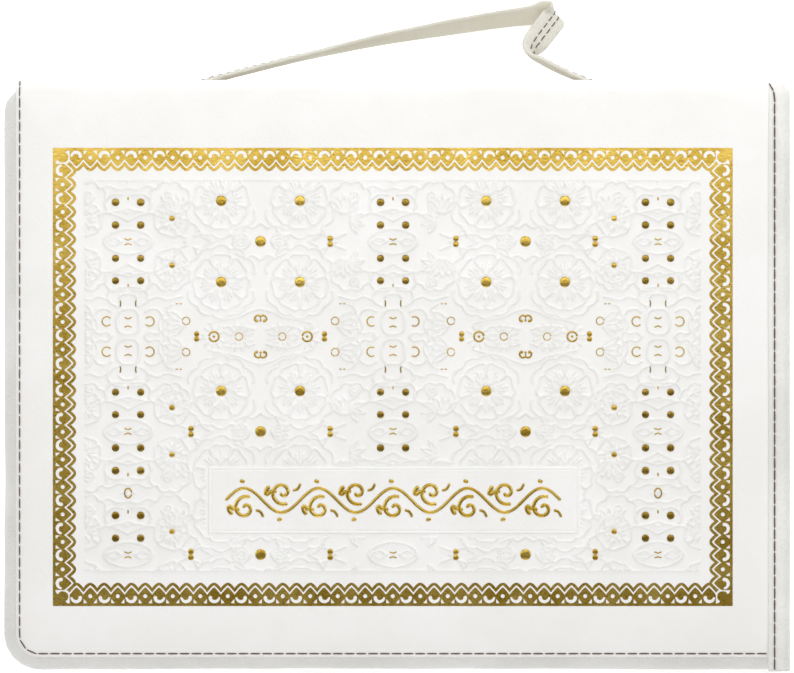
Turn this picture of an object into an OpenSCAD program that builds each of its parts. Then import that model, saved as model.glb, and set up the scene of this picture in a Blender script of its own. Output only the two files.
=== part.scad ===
// Zipped leather case for a prayer book in six booklets, lying on its back cover.
// X runs along the width, +Y towards the carrying strap, +Z up through the thickness.
// The origin is the middle of the back cover's outer face, on the surface it lies on.

/* [Case] */
// Width over the bulged left wall and the spine
case_w = 260; // [258:1:270]
// Height of the front, from the bottom wall to the rolled top edge
case_h = 195; // [193:1:205]
// Thickness of the closed case
case_t = 44; // [43:1:46]
// How far the side walls bulge past the seam
wall_bulge = 5; // [4:0.2:5.2]
// Radius of the seam line at the left corners
corner_r = 7; // [6:0.5:9]
// Radius that the front leather rolls over the top edge
top_roll_r = 6; // [5:0.5:6.5]

/* [Leather and boards] */
// Thickness of the outer leather
leather_t = 1.4; // [1:0.1:1.5]
// Thickness of the side walls with their backing
wall_t = 1.6; // [1.2:0.1:1.8]
// Thickness of the grey board in the back cover
board_t = 1.8; // [1.5:0.1:2]
// Thickness of the foam under the front leather
foam_t = 1.4; // [1:0.1:1.5]
// Thickness of the cloth lining
lining_t = 0.6; // [0.4:0.1:0.7]
// Width of the spine leather that laps over the front
lap_w = 3.9; // [3:0.1:6]

/* [Gilding] */
// Width of the gilt rectangle
border_w = 224.5; // [200:0.5:230]
// Height of the gilt rectangle
border_h = 151.3; // [140:0.5:160]
// Width of the gilt band
band_w = 7.75; // [5:0.25:10]
// Units of the band's pattern along the width
band_cells_x = 24; // [16:1:30]
// Units of the band's pattern along the height
band_cells_y = 16; // [10:1:20]
// Thickness of the foil
foil_t = 0.15; // [0.1:0.05:0.2]
// Size of the raised title plate
plate_size = [122, 22]; // [10:1:150]

/* [Booklets] */
// Width of one booklet
booklet_w = 242.45; // [230:0.05:243]
// Height of one booklet
booklet_h = 170; // [150:1:172]
// Thickness of one booklet
booklet_t = 4.9; // [4:0.1:5]
// Thickness of a booklet's card cover
card_t = 0.3; // [0.2:0.05:0.4]

/* [Zip] */
// Radius of one row of the coil
coil_r = 0.8; // [0.6:0.05:0.85]
// Length of the slider
slider_l = 12; // [10:0.5:14]
// Length of the pull tab past its pivot
tab_l = 24; // [18:1:28]
// Radius of the slider's bar that the pull tab turns on
tab_bar_r = 0.5; // [0.4:0.05:0.55]

/* [Carrying strap] */
// Width of the strap
strap_w = 9; // [8:0.5:9]
// Thickness of the strap
strap_t = 1.9; // [1.5:0.1:1.9]

/* [Hidden] */
$fn = 48;

booklet_n = 6;
booklet_colours = ["firebrick", "darkorange", "goldenrod", "seagreen", "steelblue", "rebeccapurple"];

// Case outline: the seam line's left, bottom and top, and where each cover stops short of the spine
spine_t = 3;
joint_gap = 0.3;
left_x = -case_w / 2;
right_x = case_w / 2;
bottom_y = -case_h / 2;
top_y = case_h / 2;
seam_x0 = left_x + wall_bulge;
seam_y0 = bottom_y + wall_bulge + 0.1;
seam_y1 = top_y - wall_bulge - 2.1;
cover_x1 = right_x - spine_t - joint_gap;
skin_edge = 0.6;
wall_x1 = cover_x1 - joint_gap;

// Hinge axes run along Y at the spine's rounded edges
hinge_x = right_x - spine_t / 2;
back_hinge_z = spine_t / 2;
front_hinge_z = case_t - spine_t / 2;

// Layers of the two covers
back_board_z = leather_t;
back_lining_z = back_board_z + board_t;
front_leather_z = case_t - leather_t;
front_foam_z = front_leather_z - foam_t;
front_board_t = 2;
front_board_z = front_foam_z - front_board_t;
front_lining_z = front_board_z - lining_t;
board_inset = 3;
lining_inset = 2;

// Side wall: from the cover's leather to the open edge beside the zip
zip_z = case_t / 2;
zip_half_gap = 4.7;
wall_z1 = zip_z - zip_half_gap;
wall_foot = 0.6;
wall_lip = 2.4;
wall_steps = 14;

// Zip
coil_row_z = 1.4;
tape_d = 0.15;
tape_t = 0.5;
tape_z0 = 12.5;
coil_d = tape_d + tape_t / 2;
zip_end_x = 119;
tape_end_x = 121.5;
stop_l = 2.4;
slider_home_x = 112;
slider_half_h = 4.2;
slider_plate_t = 1;
slider_clear = 0.3;
slider_web_t = 0.6;
slider_outer_d = coil_d + coil_r + slider_clear;
slider_inner_d = coil_d - coil_r - slider_clear;
bail_post = 1.1;
bail_half_h = 3.1;
tab_knuckle_r = 1;
tab_t = 1.2;
tab_w = 6.4;
tab_neck_w = 3.4;
tab_neck_l = 5;
tab_bar_d = slider_outer_d + slider_plate_t + 0.3 + tab_knuckle_r;

// Booklets: their round backs turn on cords held to the spine
booklet_x1 = 120;
booklet_z0 = 6.9;
booklet_pitch = 5.72;
booklet_x0 = booklet_x1 + booklet_t / 2 - booklet_w;
cord_r = 0.7;
cord_clear = 0.08;
cord_end_y = booklet_h / 2 + 2.2;
page_inset = 0.6;

// Gilding
border_x = -1.4;
border_y = -0.65;
plate_x = -1.3;
plate_y = -41.4;
plate_t = 0.5;
dot_fn = 8;

// Strap: centre line with the direction of its width, from the left sewn end to the right one
strap_z = 12.5;
strap_route = [
    [[-84, 96.35, strap_z], [0, 0, 1]],
    [[-66, 96.4, strap_z], [0, 0, 1]],
    [[-58, 97.6, strap_z], [0, 0, 1]],
    [[-52, 99.4, strap_z], [0, 0, 1]],
    [[-50.8, 99.8, strap_z], [0, 0, 1]],
    [[-35, 104.2, 11.6], [0, 0.2, 1]],
    [[-15, 109, 9.6], [0, 0.5, 1]],
    [[5, 112.6, 7.6], [0, 0.9, 1]],
    [[25, 115.6, 5.8], [0, 1.2, 0.8]],
    [[42, 117.8, 4.2], [0, 1, 0.45]],
    [[49, 118.6, 3.9], [-0.3, 1, 0.25]],
    [[51.8, 118.8, 5.4], [-0.67, 0.74, 0.1]],
    [[50.4, 116.4, 7.3], [-0.67, 0.74, 0.15]],
    [[47, 111.6, 8.6], [-0.7, 0.6, 0.4]],
    [[45.2, 107.6, 9.8], [-0.5, 0.3, 0.8]],
    [[47.6, 105, 11], [-0.25, 0, 1]],
    [[54, 102.6, 12.2], [0, 0, 1]],
    [[59.3, 100.5, strap_z], [0, 0, 1]],
    [[61.2, 99.5, strap_z], [0, 0, 1]],
    [[66, 97.7, strap_z], [0, 0, 1]],
    [[71, 96.5, strap_z], [0, 0, 1]],
    [[84, 96.35, strap_z], [0, 0, 1]]
];
strap_left_last = 3;
strap_right_first = 18;
stitch_gap = 2;
thread_t = 0.35;
thread_w = 0.6;
thread_gap = 0.1;

leather_white = "#F1F0EF";
leather_grey = "#E6E5E3";
gilt = "#D9B25A";

// ---- Helpers ----

// A plate outline with rounded left corners and square ones at the spine
module panel_2d(x0, x1, y0, y1, r) {
    translate([x0 + r, y0]) square([x1 - x0 - r, y1 - y0]);
    translate([x0, y0 + r]) square([r, y1 - y0 - 2 * r]);
    for (y = [y0 + r, y1 - r]) translate([x0 + r, y]) circle(r);
}

// A cover's layer, this far inside the seam line
module layer(z, t, inset) {
    translate([0, 0, z]) linear_extrude(t)
        panel_2d(seam_x0 + inset, cover_x1 - inset, seam_y0 + inset, seam_y1 - inset, corner_r - inset);
}

// Carries a profile round the top, left and bottom walls; its x is the distance outside the seam line, its y is height
module round_three_sides(x1 = wall_x1) {
    cx = seam_x0 + corner_r;
    translate([cx, seam_y0, 0]) rotate([90, 0, 90]) linear_extrude(x1 - cx) mirror([1, 0]) children();
    translate([cx, seam_y1, 0]) rotate([90, 0, 90]) linear_extrude(x1 - cx) children();
    translate([seam_x0, seam_y1 - corner_r, 0]) rotate([90, 0, 0])
        linear_extrude(seam_y1 - seam_y0 - 2 * corner_r) mirror([1, 0]) children();
    translate([cx, seam_y0 + corner_r, 0]) rotate([0, 0, 180]) rotate_extrude(angle = 90)
        translate([corner_r, 0]) children();
    translate([cx, seam_y1 - corner_r, 0]) rotate([0, 0, 90]) rotate_extrude(angle = 90)
        translate([corner_r, 0]) children();
}

// Turns a piece of the back half over to make the front half
module mirrored_to_front() {
    translate([0, 0, case_t]) mirror([0, 0, 1]) children();
}

// Outward reach of the wall at the share u of its height: a half sine on a slanted line
function wall_reach(u) =
    wall_foot + (wall_lip - wall_foot) * u + (wall_bulge - (wall_foot + wall_lip) / 2 - 0.1) * sin(180 * u);

module wall_profile() {
    us = [for (i = [0 : wall_steps]) i / wall_steps];
    function at(u) = leather_t + (wall_z1 - leather_t) * u;
    polygon(concat(
        [for (u = us) [wall_reach(u), at(u)]],
        [for (i = [wall_steps : -1 : 0]) [wall_reach(us[i]) - wall_t, at(us[i])]]
    ));
}

// A line of thread round the three sewn sides, laid on the leather
module seam_thread(z) {
    translate([0, 0, z]) round_three_sides(cover_x1 - lap_w - 1)
        translate([-thread_w, 0]) square([thread_w, thread_t]);
}

// Unit vector, and a ring of four corners across a ribbon at station i: shift moves it along the strap's width
// and lift off its face
function unit(v) = v / norm(v);
function route_dir(route, i) =
    unit(route[min(i + 1, len(route) - 1)][0] - route[max(i - 1, 0)][0]);
function ring(route, i, w, t, shift, lift) =
    let (d = route_dir(route, i), n = unit(cross(d, route[i][1])), s = unit(cross(n, d)))
    [for (c = [[-1, -1], [1, -1], [1, 1], [-1, 1]])
        route[i][0] + s * (shift + c[0] * w / 2) + n * (lift + c[1] * t / 2)];

// A ribbon of four-cornered rings joined by triangles, along part of a route
module ribbon(route, first, last, w, t, shift = 0, lift = 0) {
    m = last - first + 1;
    points = [for (i = [first : last]) each ring(route, i, w, t, shift, lift)];
    sides = [for (i = [0 : m - 2], k = [0 : 3])
        let (a = 4 * i + k, b = 4 * i + (k + 1) % 4)
        each [[a, a + 4, b], [b, a + 4, b + 4]]];
    end = 4 * (m - 1);
    polyhedron(points, concat(sides, [[0, 1, 2], [0, 2, 3], [end, end + 2, end + 1], [end, end + 3, end + 2]]));
}

// ---- Back cover ----

module back_leather() {
    color(leather_white) linear_extrude(leather_t)
        panel_2d(seam_x0 - skin_edge, cover_x1, seam_y0 - skin_edge, seam_y1 + skin_edge, corner_r + skin_edge);
}

module back_board() {
    color("#8D857A") layer(back_board_z, board_t, board_inset);
}

module back_lining() {
    color("#D8CFC0") layer(back_lining_z, lining_t, lining_inset);
}

module back_wall() {
    color(leather_grey) round_three_sides() wall_profile();
}

module back_seam_thread() {
    color("#5B3A26") translate([0, 0, leather_t]) round_three_sides(wall_x1)
        translate([wall_foot - wall_t - thread_w - 0.1, 0]) square([thread_w, thread_t]);
}

module back_spine_lap() {
    color(leather_grey) translate([cover_x1 - board_inset, seam_y0 + board_inset, leather_t])
        cube([board_inset, seam_y1 - seam_y0 - 2 * board_inset, lining_t]);
}

// ---- Zip ----

module tape_profile() {
    translate([tape_d, tape_z0]) square([tape_t, zip_z - coil_row_z - coil_r - tape_z0]);
}

module coil_profile() {
    translate([coil_d, zip_z - coil_row_z]) circle(coil_r);
}

// The stops close both ends of one row of the coil
module stops_profile() {
    translate([coil_d - coil_r, zip_z - coil_row_z - coil_r]) square([2 * coil_r, 2 * coil_r]);
}

module zip_stops() {
    for (side = [-1, 1])
        translate([zip_end_x + 0.05, side < 0 ? seam_y0 : seam_y1, 0]) rotate([90, 0, 90])
            linear_extrude(stop_l) mirror([side < 0 ? 1 : 0, 0]) stops_profile();
}

module rear_zip_tape() {
    color("#D9D4CC") round_three_sides(tape_end_x) tape_profile();
}

module rear_zip_coil() {
    color("#EDE9E2") round_three_sides(zip_end_x) coil_profile();
}

module rear_zip_stops() {
    color("silver") zip_stops();
}

module front_zip_tape() {
    color("#D9D4CC") mirrored_to_front() round_three_sides(tape_end_x) tape_profile();
}

module front_zip_coil() {
    color("#EDE9E2") mirrored_to_front() round_three_sides(zip_end_x) coil_profile();
}

module front_zip_stops() {
    color("silver") mirrored_to_front() zip_stops();
}

// A box by its reach outside the bottom seam and its height
module beside_bottom(x0, x1, d0, d1, z0, z1) {
    translate([x0, seam_y0 - d1, z0]) cube([x1 - x0, d1 - d0, z1 - z0]);
}

module zip_slider() {
    x0 = slider_home_x - slider_l / 2;
    x1 = slider_home_x + slider_l / 2;
    color("silver") {
        beside_bottom(x0, x1, slider_outer_d, slider_outer_d + slider_plate_t,
            zip_z - slider_half_h, zip_z + slider_half_h);
        beside_bottom(x0, x1, slider_inner_d - slider_plate_t, slider_inner_d,
            zip_z - slider_half_h, zip_z + slider_half_h);
        beside_bottom(x0, x0 + slider_l / 2, slider_inner_d, slider_outer_d,
            zip_z - slider_web_t / 2, zip_z + slider_web_t / 2);
        for (z = [zip_z - bail_half_h, zip_z + bail_half_h - bail_post])
            beside_bottom(slider_home_x - bail_post, slider_home_x + bail_post,
                slider_outer_d + slider_plate_t, tab_bar_d + tab_bar_r, z, z + bail_post);
        translate([slider_home_x, seam_y0 - tab_bar_d, zip_z - bail_half_h])
            cylinder(h = 2 * bail_half_h, r = tab_bar_r);
    }
}

module pull_tab() {
    color("silver") translate([slider_home_x, seam_y0 - tab_bar_d, zip_z]) difference() {
        union() {
            translate([0, 0, -tab_neck_w / 2]) cylinder(h = tab_neck_w, r = tab_knuckle_r);
            translate([-tab_neck_l, -tab_t / 2, -tab_neck_w / 2]) cube([tab_neck_l, tab_t, tab_neck_w]);
            translate([-tab_l + tab_w / 2, -tab_t / 2, -tab_w / 2])
                cube([tab_l - tab_w / 2 - tab_neck_l, tab_t, tab_w]);
            translate([-tab_l + tab_w / 2, -tab_t / 2, 0]) rotate([-90, 0, 0]) cylinder(h = tab_t, r = tab_w / 2);
        }
        translate([0, 0, -tab_neck_w]) cylinder(h = 2 * tab_neck_w, r = tab_bar_r + 0.06);
    }
}

// ---- Spine ----

spine_y0 = bottom_y - 0.4;
spine_y1 = top_y - 2;
spine_leather_t = 0.9;
spine_lining_t = 0.7;

// Carries an outline of x and height along the spine
module along_spine(y0, y1) {
    translate([0, y1, 0]) rotate([90, 0, 0]) linear_extrude(y1 - y0) children();
}

module spine_leather() {
    color(leather_grey) along_spine(spine_y0, spine_y1) difference() {
        union() {
            for (z = [back_hinge_z, front_hinge_z]) translate([hinge_x, z]) circle(spine_t / 2);
            translate([hinge_x - spine_t / 2, back_hinge_z]) square([spine_t, front_hinge_z - back_hinge_z]);
        }
        translate([hinge_x - spine_t, back_hinge_z])
            square([1.5 * spine_t - spine_leather_t, front_hinge_z - back_hinge_z]);
    }
}

module spine_board() {
    x0 = hinge_x - spine_t / 2 + spine_lining_t;
    color("#8D857A") along_spine(seam_y0 + board_inset, seam_y1 - board_inset)
        translate([x0, back_hinge_z + 1])
            square([right_x - spine_leather_t - x0, front_hinge_z - back_hinge_z - 2]);
}

module spine_lining() {
    color("#D8CFC0") along_spine(seam_y0, seam_y1)
        translate([hinge_x - spine_t / 2, back_hinge_z])
            square([spine_lining_t, front_hinge_z - back_hinge_z]);
}

// Soft flaps that close the gap between the two walls at both ends of the spine
module spine_end_flaps() {
    z0 = wall_z1 + joint_gap;
    x0 = tape_end_x + joint_gap;
    color(leather_grey) for (y = [seam_y0, seam_y1 - 1])
        translate([x0, y, z0]) cube([hinge_x - spine_t / 2 - x0, 1, case_t - 2 * z0]);
}

// One elastic cord down the back of each booklet, tied to the spine at both ends
module binding_cords() {
    color("#3A3430") for (k = [0 : booklet_n - 1]) translate([booklet_x1, 0, booklet_z0 + k * booklet_pitch]) {
        translate([0, cord_end_y, 0]) rotate([90, 0, 0]) cylinder(h = 2 * cord_end_y, r = cord_r);
        for (y = [-cord_end_y, cord_end_y]) translate([0, y, 0]) {
            rotate([0, 90, 0]) cylinder(h = hinge_x - spine_t / 2 - booklet_x1, r = cord_r);
            sphere(cord_r);
        }
    }
}

// The zip's dark end, turned round the corner and sewn to the spine
module zip_tail() {
    color("#3B342F") translate([right_x, -92, zip_z - 3]) cube([0.5, 7, 6]);
}

// ---- Front cover ----

module front_leather() {
    color(leather_white) {
        translate([0, 0, front_leather_z]) linear_extrude(leather_t) {
            x0 = seam_x0 - skin_edge;
            y0 = seam_y0 - skin_edge;
            r = corner_r + skin_edge;
            translate([x0 + r, y0]) square([cover_x1 - x0 - r, r]);
            translate([x0, y0 + r]) square([cover_x1 - x0, top_y - top_roll_r - y0 - r]);
            translate([x0 + r, y0 + r]) circle(r);
        }
        translate([seam_x0 - skin_edge, top_y - top_roll_r, case_t - top_roll_r]) rotate([90, 0, 90])
            linear_extrude(cover_x1 - seam_x0 + skin_edge) intersection() {
                difference() {
                    circle(top_roll_r);
                    circle(top_roll_r - leather_t);
                }
                square(top_roll_r);
            }
    }
}

module front_foam() {
    color("#E9E4D8") layer(front_foam_z, foam_t, board_inset);
}

module front_board() {
    color("#8D857A") layer(front_board_z, front_board_t, board_inset);
}

module front_lining() {
    color("#D8CFC0") layer(front_lining_z, lining_t, lining_inset);
}

module front_wall() {
    color(leather_grey) mirrored_to_front() round_three_sides() wall_profile();
}

// The visible seam: left and bottom sides with a rounded corner, and the side along the spine's lap
module front_seam_thread() {
    lap_x = cover_x1 - 2;
    color("#5B3A26") translate([0, 0, case_t]) linear_extrude(thread_t) {
        cx = seam_x0 + corner_r;
        cy = seam_y0 + corner_r;
        translate([cx, seam_y0]) square([cover_x1 - lap_w - 0.1 - cx, thread_w]);
        translate([seam_x0, cy]) square([thread_w, top_y - top_roll_r - cy]);
        intersection() {
            translate([cx, cy]) difference() {
                circle(corner_r);
                circle(corner_r - thread_w);
            }
            translate([seam_x0, seam_y0]) square(corner_r);
        }
    }
    color("#5B3A26") translate([lap_x - thread_w / 2, seam_y0, case_t + spine_lining_t])
        cube([thread_w, top_y - top_roll_r - seam_y0, thread_t]);
}

// The spine's leather folded over the front's right edge, with a square end past the bottom wall
module front_spine_lap() {
    color(leather_grey) translate([cover_x1 - lap_w, spine_y0, case_t])
        cube([lap_w, top_y - top_roll_r - spine_y0, spine_lining_t]);
}

// ---- Gilding ----

// Inner edge of the gilt band: a wave with one crest for each unit of the pattern
function band_wave(length, cells, depth) =
    [for (i = [0 : 2 * cells]) [length * i / (2 * cells), i % 2 == 0 ? 0 : depth]];

module gilt_border() {
    depth = band_w * 0.12;
    w = border_w - 2 * band_w;
    h = border_h - 2 * band_w;
    color(gilt) translate([border_x - border_w / 2, border_y - border_h / 2, case_t]) linear_extrude(foil_t)
        difference() {
            square([border_w, border_h]);
            translate([band_w, band_w]) polygon(concat(
                [for (p = band_wave(w, band_cells_x, depth)) [p[0], -p[1]]],
                [for (p = band_wave(h, band_cells_y, depth)) [w + p[1], p[0]]],
                [for (p = band_wave(w, band_cells_x, depth)) [w - p[0], h + p[1]]],
                [for (p = band_wave(h, band_cells_y, depth)) [-p[1], h - p[0]]]
            ));
        }
}

// Gilt dots of the field: each medallion column repeats about the field's middle
medallion_x = 43.8;
row_a_y = 12.7;
module gilt_dots() {
    flower = [[13, 18], [13, 44.8]];
    middle = [[0, 31.4]];
    color(gilt) for (column = [-1, 1], mx = [-1, 1], my = [-1, 1])
        translate([plate_x + column * medallion_x, row_a_y, case_t]) {
            for (p = flower) if (row_a_y + my * p[1] > plate_y + plate_size[1] / 2)
                translate([mx * p[0], my * p[1], 0]) cylinder(h = foil_t, r = 1.75, $fn = dot_fn);
            for (p = middle) if (mx > 0)
                translate([0, my * p[1], 0]) cylinder(h = foil_t, r = 1.4, $fn = dot_fn);
        }
}

module title_plate() {
    color(leather_white) translate([plate_x - plate_size[0] / 2, plate_y - plate_size[1] / 2, case_t])
        linear_extrude(plate_t) square(plate_size);
}

// A plain running ornament of lozenges that stands for the gilt design of the plate
module plate_ornament() {
    count = 11;
    step = (plate_size[0] - 12) / count;
    color(gilt) translate([plate_x - step * (count - 1) / 2, plate_y, case_t + plate_t]) linear_extrude(foil_t)
        for (i = [0 : count - 1]) translate([i * step, 0]) polygon([[-4, 0], [0, -7], [4, 0], [0, 7]]);
}

// ---- Strap ----

module strap_end_left() {
    color(leather_white) ribbon(strap_route, 0, strap_left_last, strap_w, strap_t);
}

module strap() {
    color(leather_white) ribbon(strap_route, strap_left_last + 1, strap_right_first - 1, strap_w, strap_t);
}

module strap_end_right() {
    color(leather_white) ribbon(strap_route, strap_right_first, len(strap_route) - 1, strap_w, strap_t);
}

// Two rows of thread on the strap's outer face
module strap_stitching() {
    color("#7A5230") for (shift = [-stitch_gap / 2, stitch_gap / 2])
        ribbon(strap_route, strap_left_last + 1, strap_right_first - 1, thread_w, thread_t,
            shift = shift, lift = -(strap_t + thread_t) / 2 - thread_gap);
}

// ---- Booklets ----

// Outline of a booklet: a flat block whose back is a half circle round its cord
module booklet_2d(half, x0) {
    translate([x0, -half]) square([booklet_x1 - x0, 2 * half]);
    translate([booklet_x1, 0]) circle(half);
}

module booklet_cover(k) {
    half = booklet_t / 2;
    color(booklet_colours[k - 1]) translate([0, 0, booklet_z0 + (k - 1) * booklet_pitch])
        along_spine(-booklet_h / 2, booklet_h / 2) difference() {
            booklet_2d(half, booklet_x0);
            booklet_2d(half - card_t, booklet_x0 - 1);
        }
}

module booklet_pages(k) {
    color("#F3ECD8") translate([0, 0, booklet_z0 + (k - 1) * booklet_pitch])
        along_spine(-booklet_h / 2 + page_inset, booklet_h / 2 - page_inset) difference() {
            booklet_2d(booklet_t / 2 - card_t, booklet_x0 + page_inset);
            translate([booklet_x1, 0]) circle(cord_r + cord_clear);
        }
}

back_leather();
back_board();
back_lining();
back_wall();
back_seam_thread();
rear_zip_tape();
rear_zip_coil();
rear_zip_stops();
back_spine_lap();
strap_end_left();
strap_end_right();
spine_leather();
spine_board();
spine_lining();
spine_end_flaps();
binding_cords();
zip_tail();
front_leather();
front_foam();
front_board();
front_lining();
front_wall();
front_seam_thread();
front_zip_tape();
front_zip_coil();
front_zip_stops();
front_spine_lap();
gilt_border();
gilt_dots();
title_plate();
plate_ornament();
zip_slider();
pull_tab();
strap();
strap_stitching();
for (k = [1 : booklet_n]) {
    booklet_cover(k);
    booklet_pages(k);
}
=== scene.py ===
"""The looks of a zipped leathercloth case that holds a prayer book in six booklets.

Lengths are in millimetres until a mesh is made. +X runs towards the spine, +Y towards the carrying strap and
+Z up.
"""
import itertools
import math

import bpy
import bmesh
import numpy as np
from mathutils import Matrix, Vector
from mathutils.geometry import delaunay_2d_cdt


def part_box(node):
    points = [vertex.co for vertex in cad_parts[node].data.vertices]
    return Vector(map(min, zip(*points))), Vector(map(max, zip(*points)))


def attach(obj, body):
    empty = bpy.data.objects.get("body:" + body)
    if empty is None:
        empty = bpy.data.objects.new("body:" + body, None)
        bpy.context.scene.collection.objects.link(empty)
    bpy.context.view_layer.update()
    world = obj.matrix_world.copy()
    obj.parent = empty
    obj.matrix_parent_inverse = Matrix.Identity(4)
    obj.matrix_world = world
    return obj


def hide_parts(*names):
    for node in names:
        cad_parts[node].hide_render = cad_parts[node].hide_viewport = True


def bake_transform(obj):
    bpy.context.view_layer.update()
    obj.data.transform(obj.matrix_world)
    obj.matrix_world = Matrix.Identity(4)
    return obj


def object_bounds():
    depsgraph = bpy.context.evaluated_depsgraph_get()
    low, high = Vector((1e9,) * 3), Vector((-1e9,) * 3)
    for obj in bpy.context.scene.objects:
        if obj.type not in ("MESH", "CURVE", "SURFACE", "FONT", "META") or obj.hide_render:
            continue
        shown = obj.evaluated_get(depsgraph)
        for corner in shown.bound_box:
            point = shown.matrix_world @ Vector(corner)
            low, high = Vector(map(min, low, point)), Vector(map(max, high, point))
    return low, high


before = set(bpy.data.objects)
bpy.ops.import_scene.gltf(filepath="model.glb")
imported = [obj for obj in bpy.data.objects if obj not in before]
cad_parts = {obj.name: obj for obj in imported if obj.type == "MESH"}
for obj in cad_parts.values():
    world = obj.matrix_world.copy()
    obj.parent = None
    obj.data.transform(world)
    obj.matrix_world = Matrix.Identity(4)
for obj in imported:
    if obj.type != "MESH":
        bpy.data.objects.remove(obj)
cad_low, cad_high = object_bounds()

MM = 0.001
TURN = 2 * math.pi


def span(node):
    """Lowest and highest corner of a CAD node, in millimetres."""
    low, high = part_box(node)
    return np.array(low) / MM, np.array(high) / MM


# ---- The case's own places, read from the frame ----

front_lo, front_hi = span("front_leather")
wall_lo, wall_hi = span("front_wall")
thread_lo, _ = span("front_seam_thread")
lap_lo, lap_hi = span("front_spine_lap")
spine_lo, spine_hi = span("spine_leather")
border_lo, border_hi = span("gilt_border")
plate_lo, plate_hi = span("title_plate")
tab_lo, tab_hi = span("pull_tab")

CASE_T = lap_lo[2]
ZIP_Z = CASE_T / 2
SEAM_X0 = thread_lo[0]
SEAM_Y0 = thread_lo[1]
SEAM_Y1 = wall_hi[1] - (SEAM_X0 - wall_lo[0])
CORNER_R = 7.0
WALL_X1 = wall_hi[0]
TOP_Y = front_hi[1]
ROLL_R = front_hi[2] - front_lo[2]
PANEL_EDGE = 0.9
STITCH_PITCH = 3.9
HINGE_Z = 1.5
HINGE_X = spine_hi[0] - HINGE_Z


# ---- Mesh tools ----

def new_mesh(name, points, *face_sets, outward=False):
    """A mesh object from points in millimetres and arrays of faces, smooth all over."""
    mesh = bpy.data.meshes.new(name)
    sizes = np.concatenate([np.full(len(f), f.shape[1]) for f in face_sets])
    corners = np.concatenate([f.ravel() for f in face_sets]).astype(np.int32)
    mesh.vertices.add(len(points))
    mesh.vertices.foreach_set("co", (np.asarray(points, float) * MM).astype(np.float32).ravel())
    mesh.loops.add(len(corners))
    mesh.loops.foreach_set("vertex_index", corners)
    mesh.polygons.add(len(sizes))
    mesh.polygons.foreach_set("loop_start", np.concatenate([[0], np.cumsum(sizes)[:-1]]).astype(np.int32))
    mesh.polygons.foreach_set("use_smooth", np.ones(len(sizes), bool))
    mesh.update(calc_edges=True)
    mesh.validate()
    if outward:
        work = bmesh.new()
        work.from_mesh(mesh)
        bmesh.ops.recalc_face_normals(work, faces=work.faces)
        work.to_mesh(mesh)
        work.free()
        mesh.set_sharp_from_angle(angle=math.radians(55))
    piece = bpy.data.objects.new(name, mesh)
    bpy.context.scene.collection.objects.link(piece)
    return piece


def grid_quads(rows, cols, close_rows=False, close_cols=False):
    """Faces of a grid of rows by cols points, joined end to end where it closes."""
    r = np.arange(rows if close_rows else rows - 1)
    c = np.arange(cols if close_cols else cols - 1)
    i, j = np.meshgrid(r, c, indexing="ij")
    i2, j2 = (i + 1) % rows, (j + 1) % cols
    return np.stack([i * cols + j, i2 * cols + j, i2 * cols + j2, i * cols + j2], -1).reshape(-1, 4)


def surface(name, grid):
    """An open sheet from a grid of points."""
    return new_mesh(name, grid.reshape(-1, 3), grid_quads(*grid.shape[:2]))


def tube(name, grid):
    """A solid whose rows are closed rings, with a flat cap at both ends."""
    rows, cols = grid.shape[:2]
    ring = np.arange(cols)
    caps = np.stack([ring, (rows - 1) * cols + ring[::-1]])
    return new_mesh(name, grid.reshape(-1, 3), grid_quads(rows, cols, close_cols=True), caps, outward=True)


def join(name, pieces):
    """One object from several."""
    with bpy.context.temp_override(active_object=pieces[0], selected_editable_objects=pieces):
        bpy.ops.object.join()
    pieces[0].name = name
    return pieces[0]


def unit(v):
    """The same directions, each one long."""
    return v / np.linalg.norm(v, axis=-1, keepdims=True)


def smooth_line(points, steps=8):
    """A Catmull-Rom curve through the points: each span blends its two neighbours' chords."""
    p = np.asarray(points, float)
    p = np.vstack([2 * p[0] - p[1], p, 2 * p[-1] - p[-2]])
    t = (np.arange(steps) / steps)[:, None]
    spans = [
        0.5 * (2 * b + (c - a) * t + (2 * a - 5 * b + 4 * c - d) * t**2 + (3 * b - a - 3 * c + d) * t**3)
        for a, b, c, d in zip(p, p[1:], p[2:], p[3:])
    ]
    return np.vstack(spans + [p[-2:-1]])


def spaced(points, gap):
    """The same line with points an even gap apart, and the length along it of each."""
    p = np.asarray(points, float)
    s = np.concatenate([[0], np.cumsum(np.linalg.norm(np.diff(p, axis=0), axis=1))])
    at = np.linspace(0, s[-1], max(2, round(s[-1] / gap) + 1))
    return np.stack([np.interp(at, s, p[:, k]) for k in range(p.shape[1])], 1), at


def ripple(s, t, seed, count=7):
    """A soft irregular wave of two lengths: a sum of sines whose directions and phases come from the seed."""
    rng = np.random.default_rng(seed)
    total = 0
    for _ in range(count):
        a, b, phase = rng.uniform(0.4, 1.6), rng.uniform(-1.4, 1.4), rng.uniform(0, TURN)
        total = total + np.sin(a * s + b * t + phase)
    return total / count


def arc(centre, radius, start, end, steps=24):
    """Points of a round arc, angles in degrees."""
    a = np.radians(np.linspace(start, end, steps))
    return np.stack([centre[0] + radius * np.cos(a), centre[1] + radius * np.sin(a)], 1)


def tie(piece, body, slot, material, *nodes):
    """Gives a finished piece its material and its body, and hides the CAD nodes that it stands for; slot is
    not used.
    """
    for m in material if isinstance(material, (list, tuple)) else [material]:
        piece.data.materials.append(m)
    if body:
        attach(piece, body)
    if nodes:
        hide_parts(*nodes)
    return piece


# ---- Materials ----

def colour(code):
    """Linear colour of an sRGB hex value."""
    c = np.array([int(code[i:i + 2], 16) / 255 for i in (1, 3, 5)])
    return (*np.where(c <= 0.04045, c / 12.92, ((c + 0.055) / 1.055) ** 2.4), 1.0)


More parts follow.
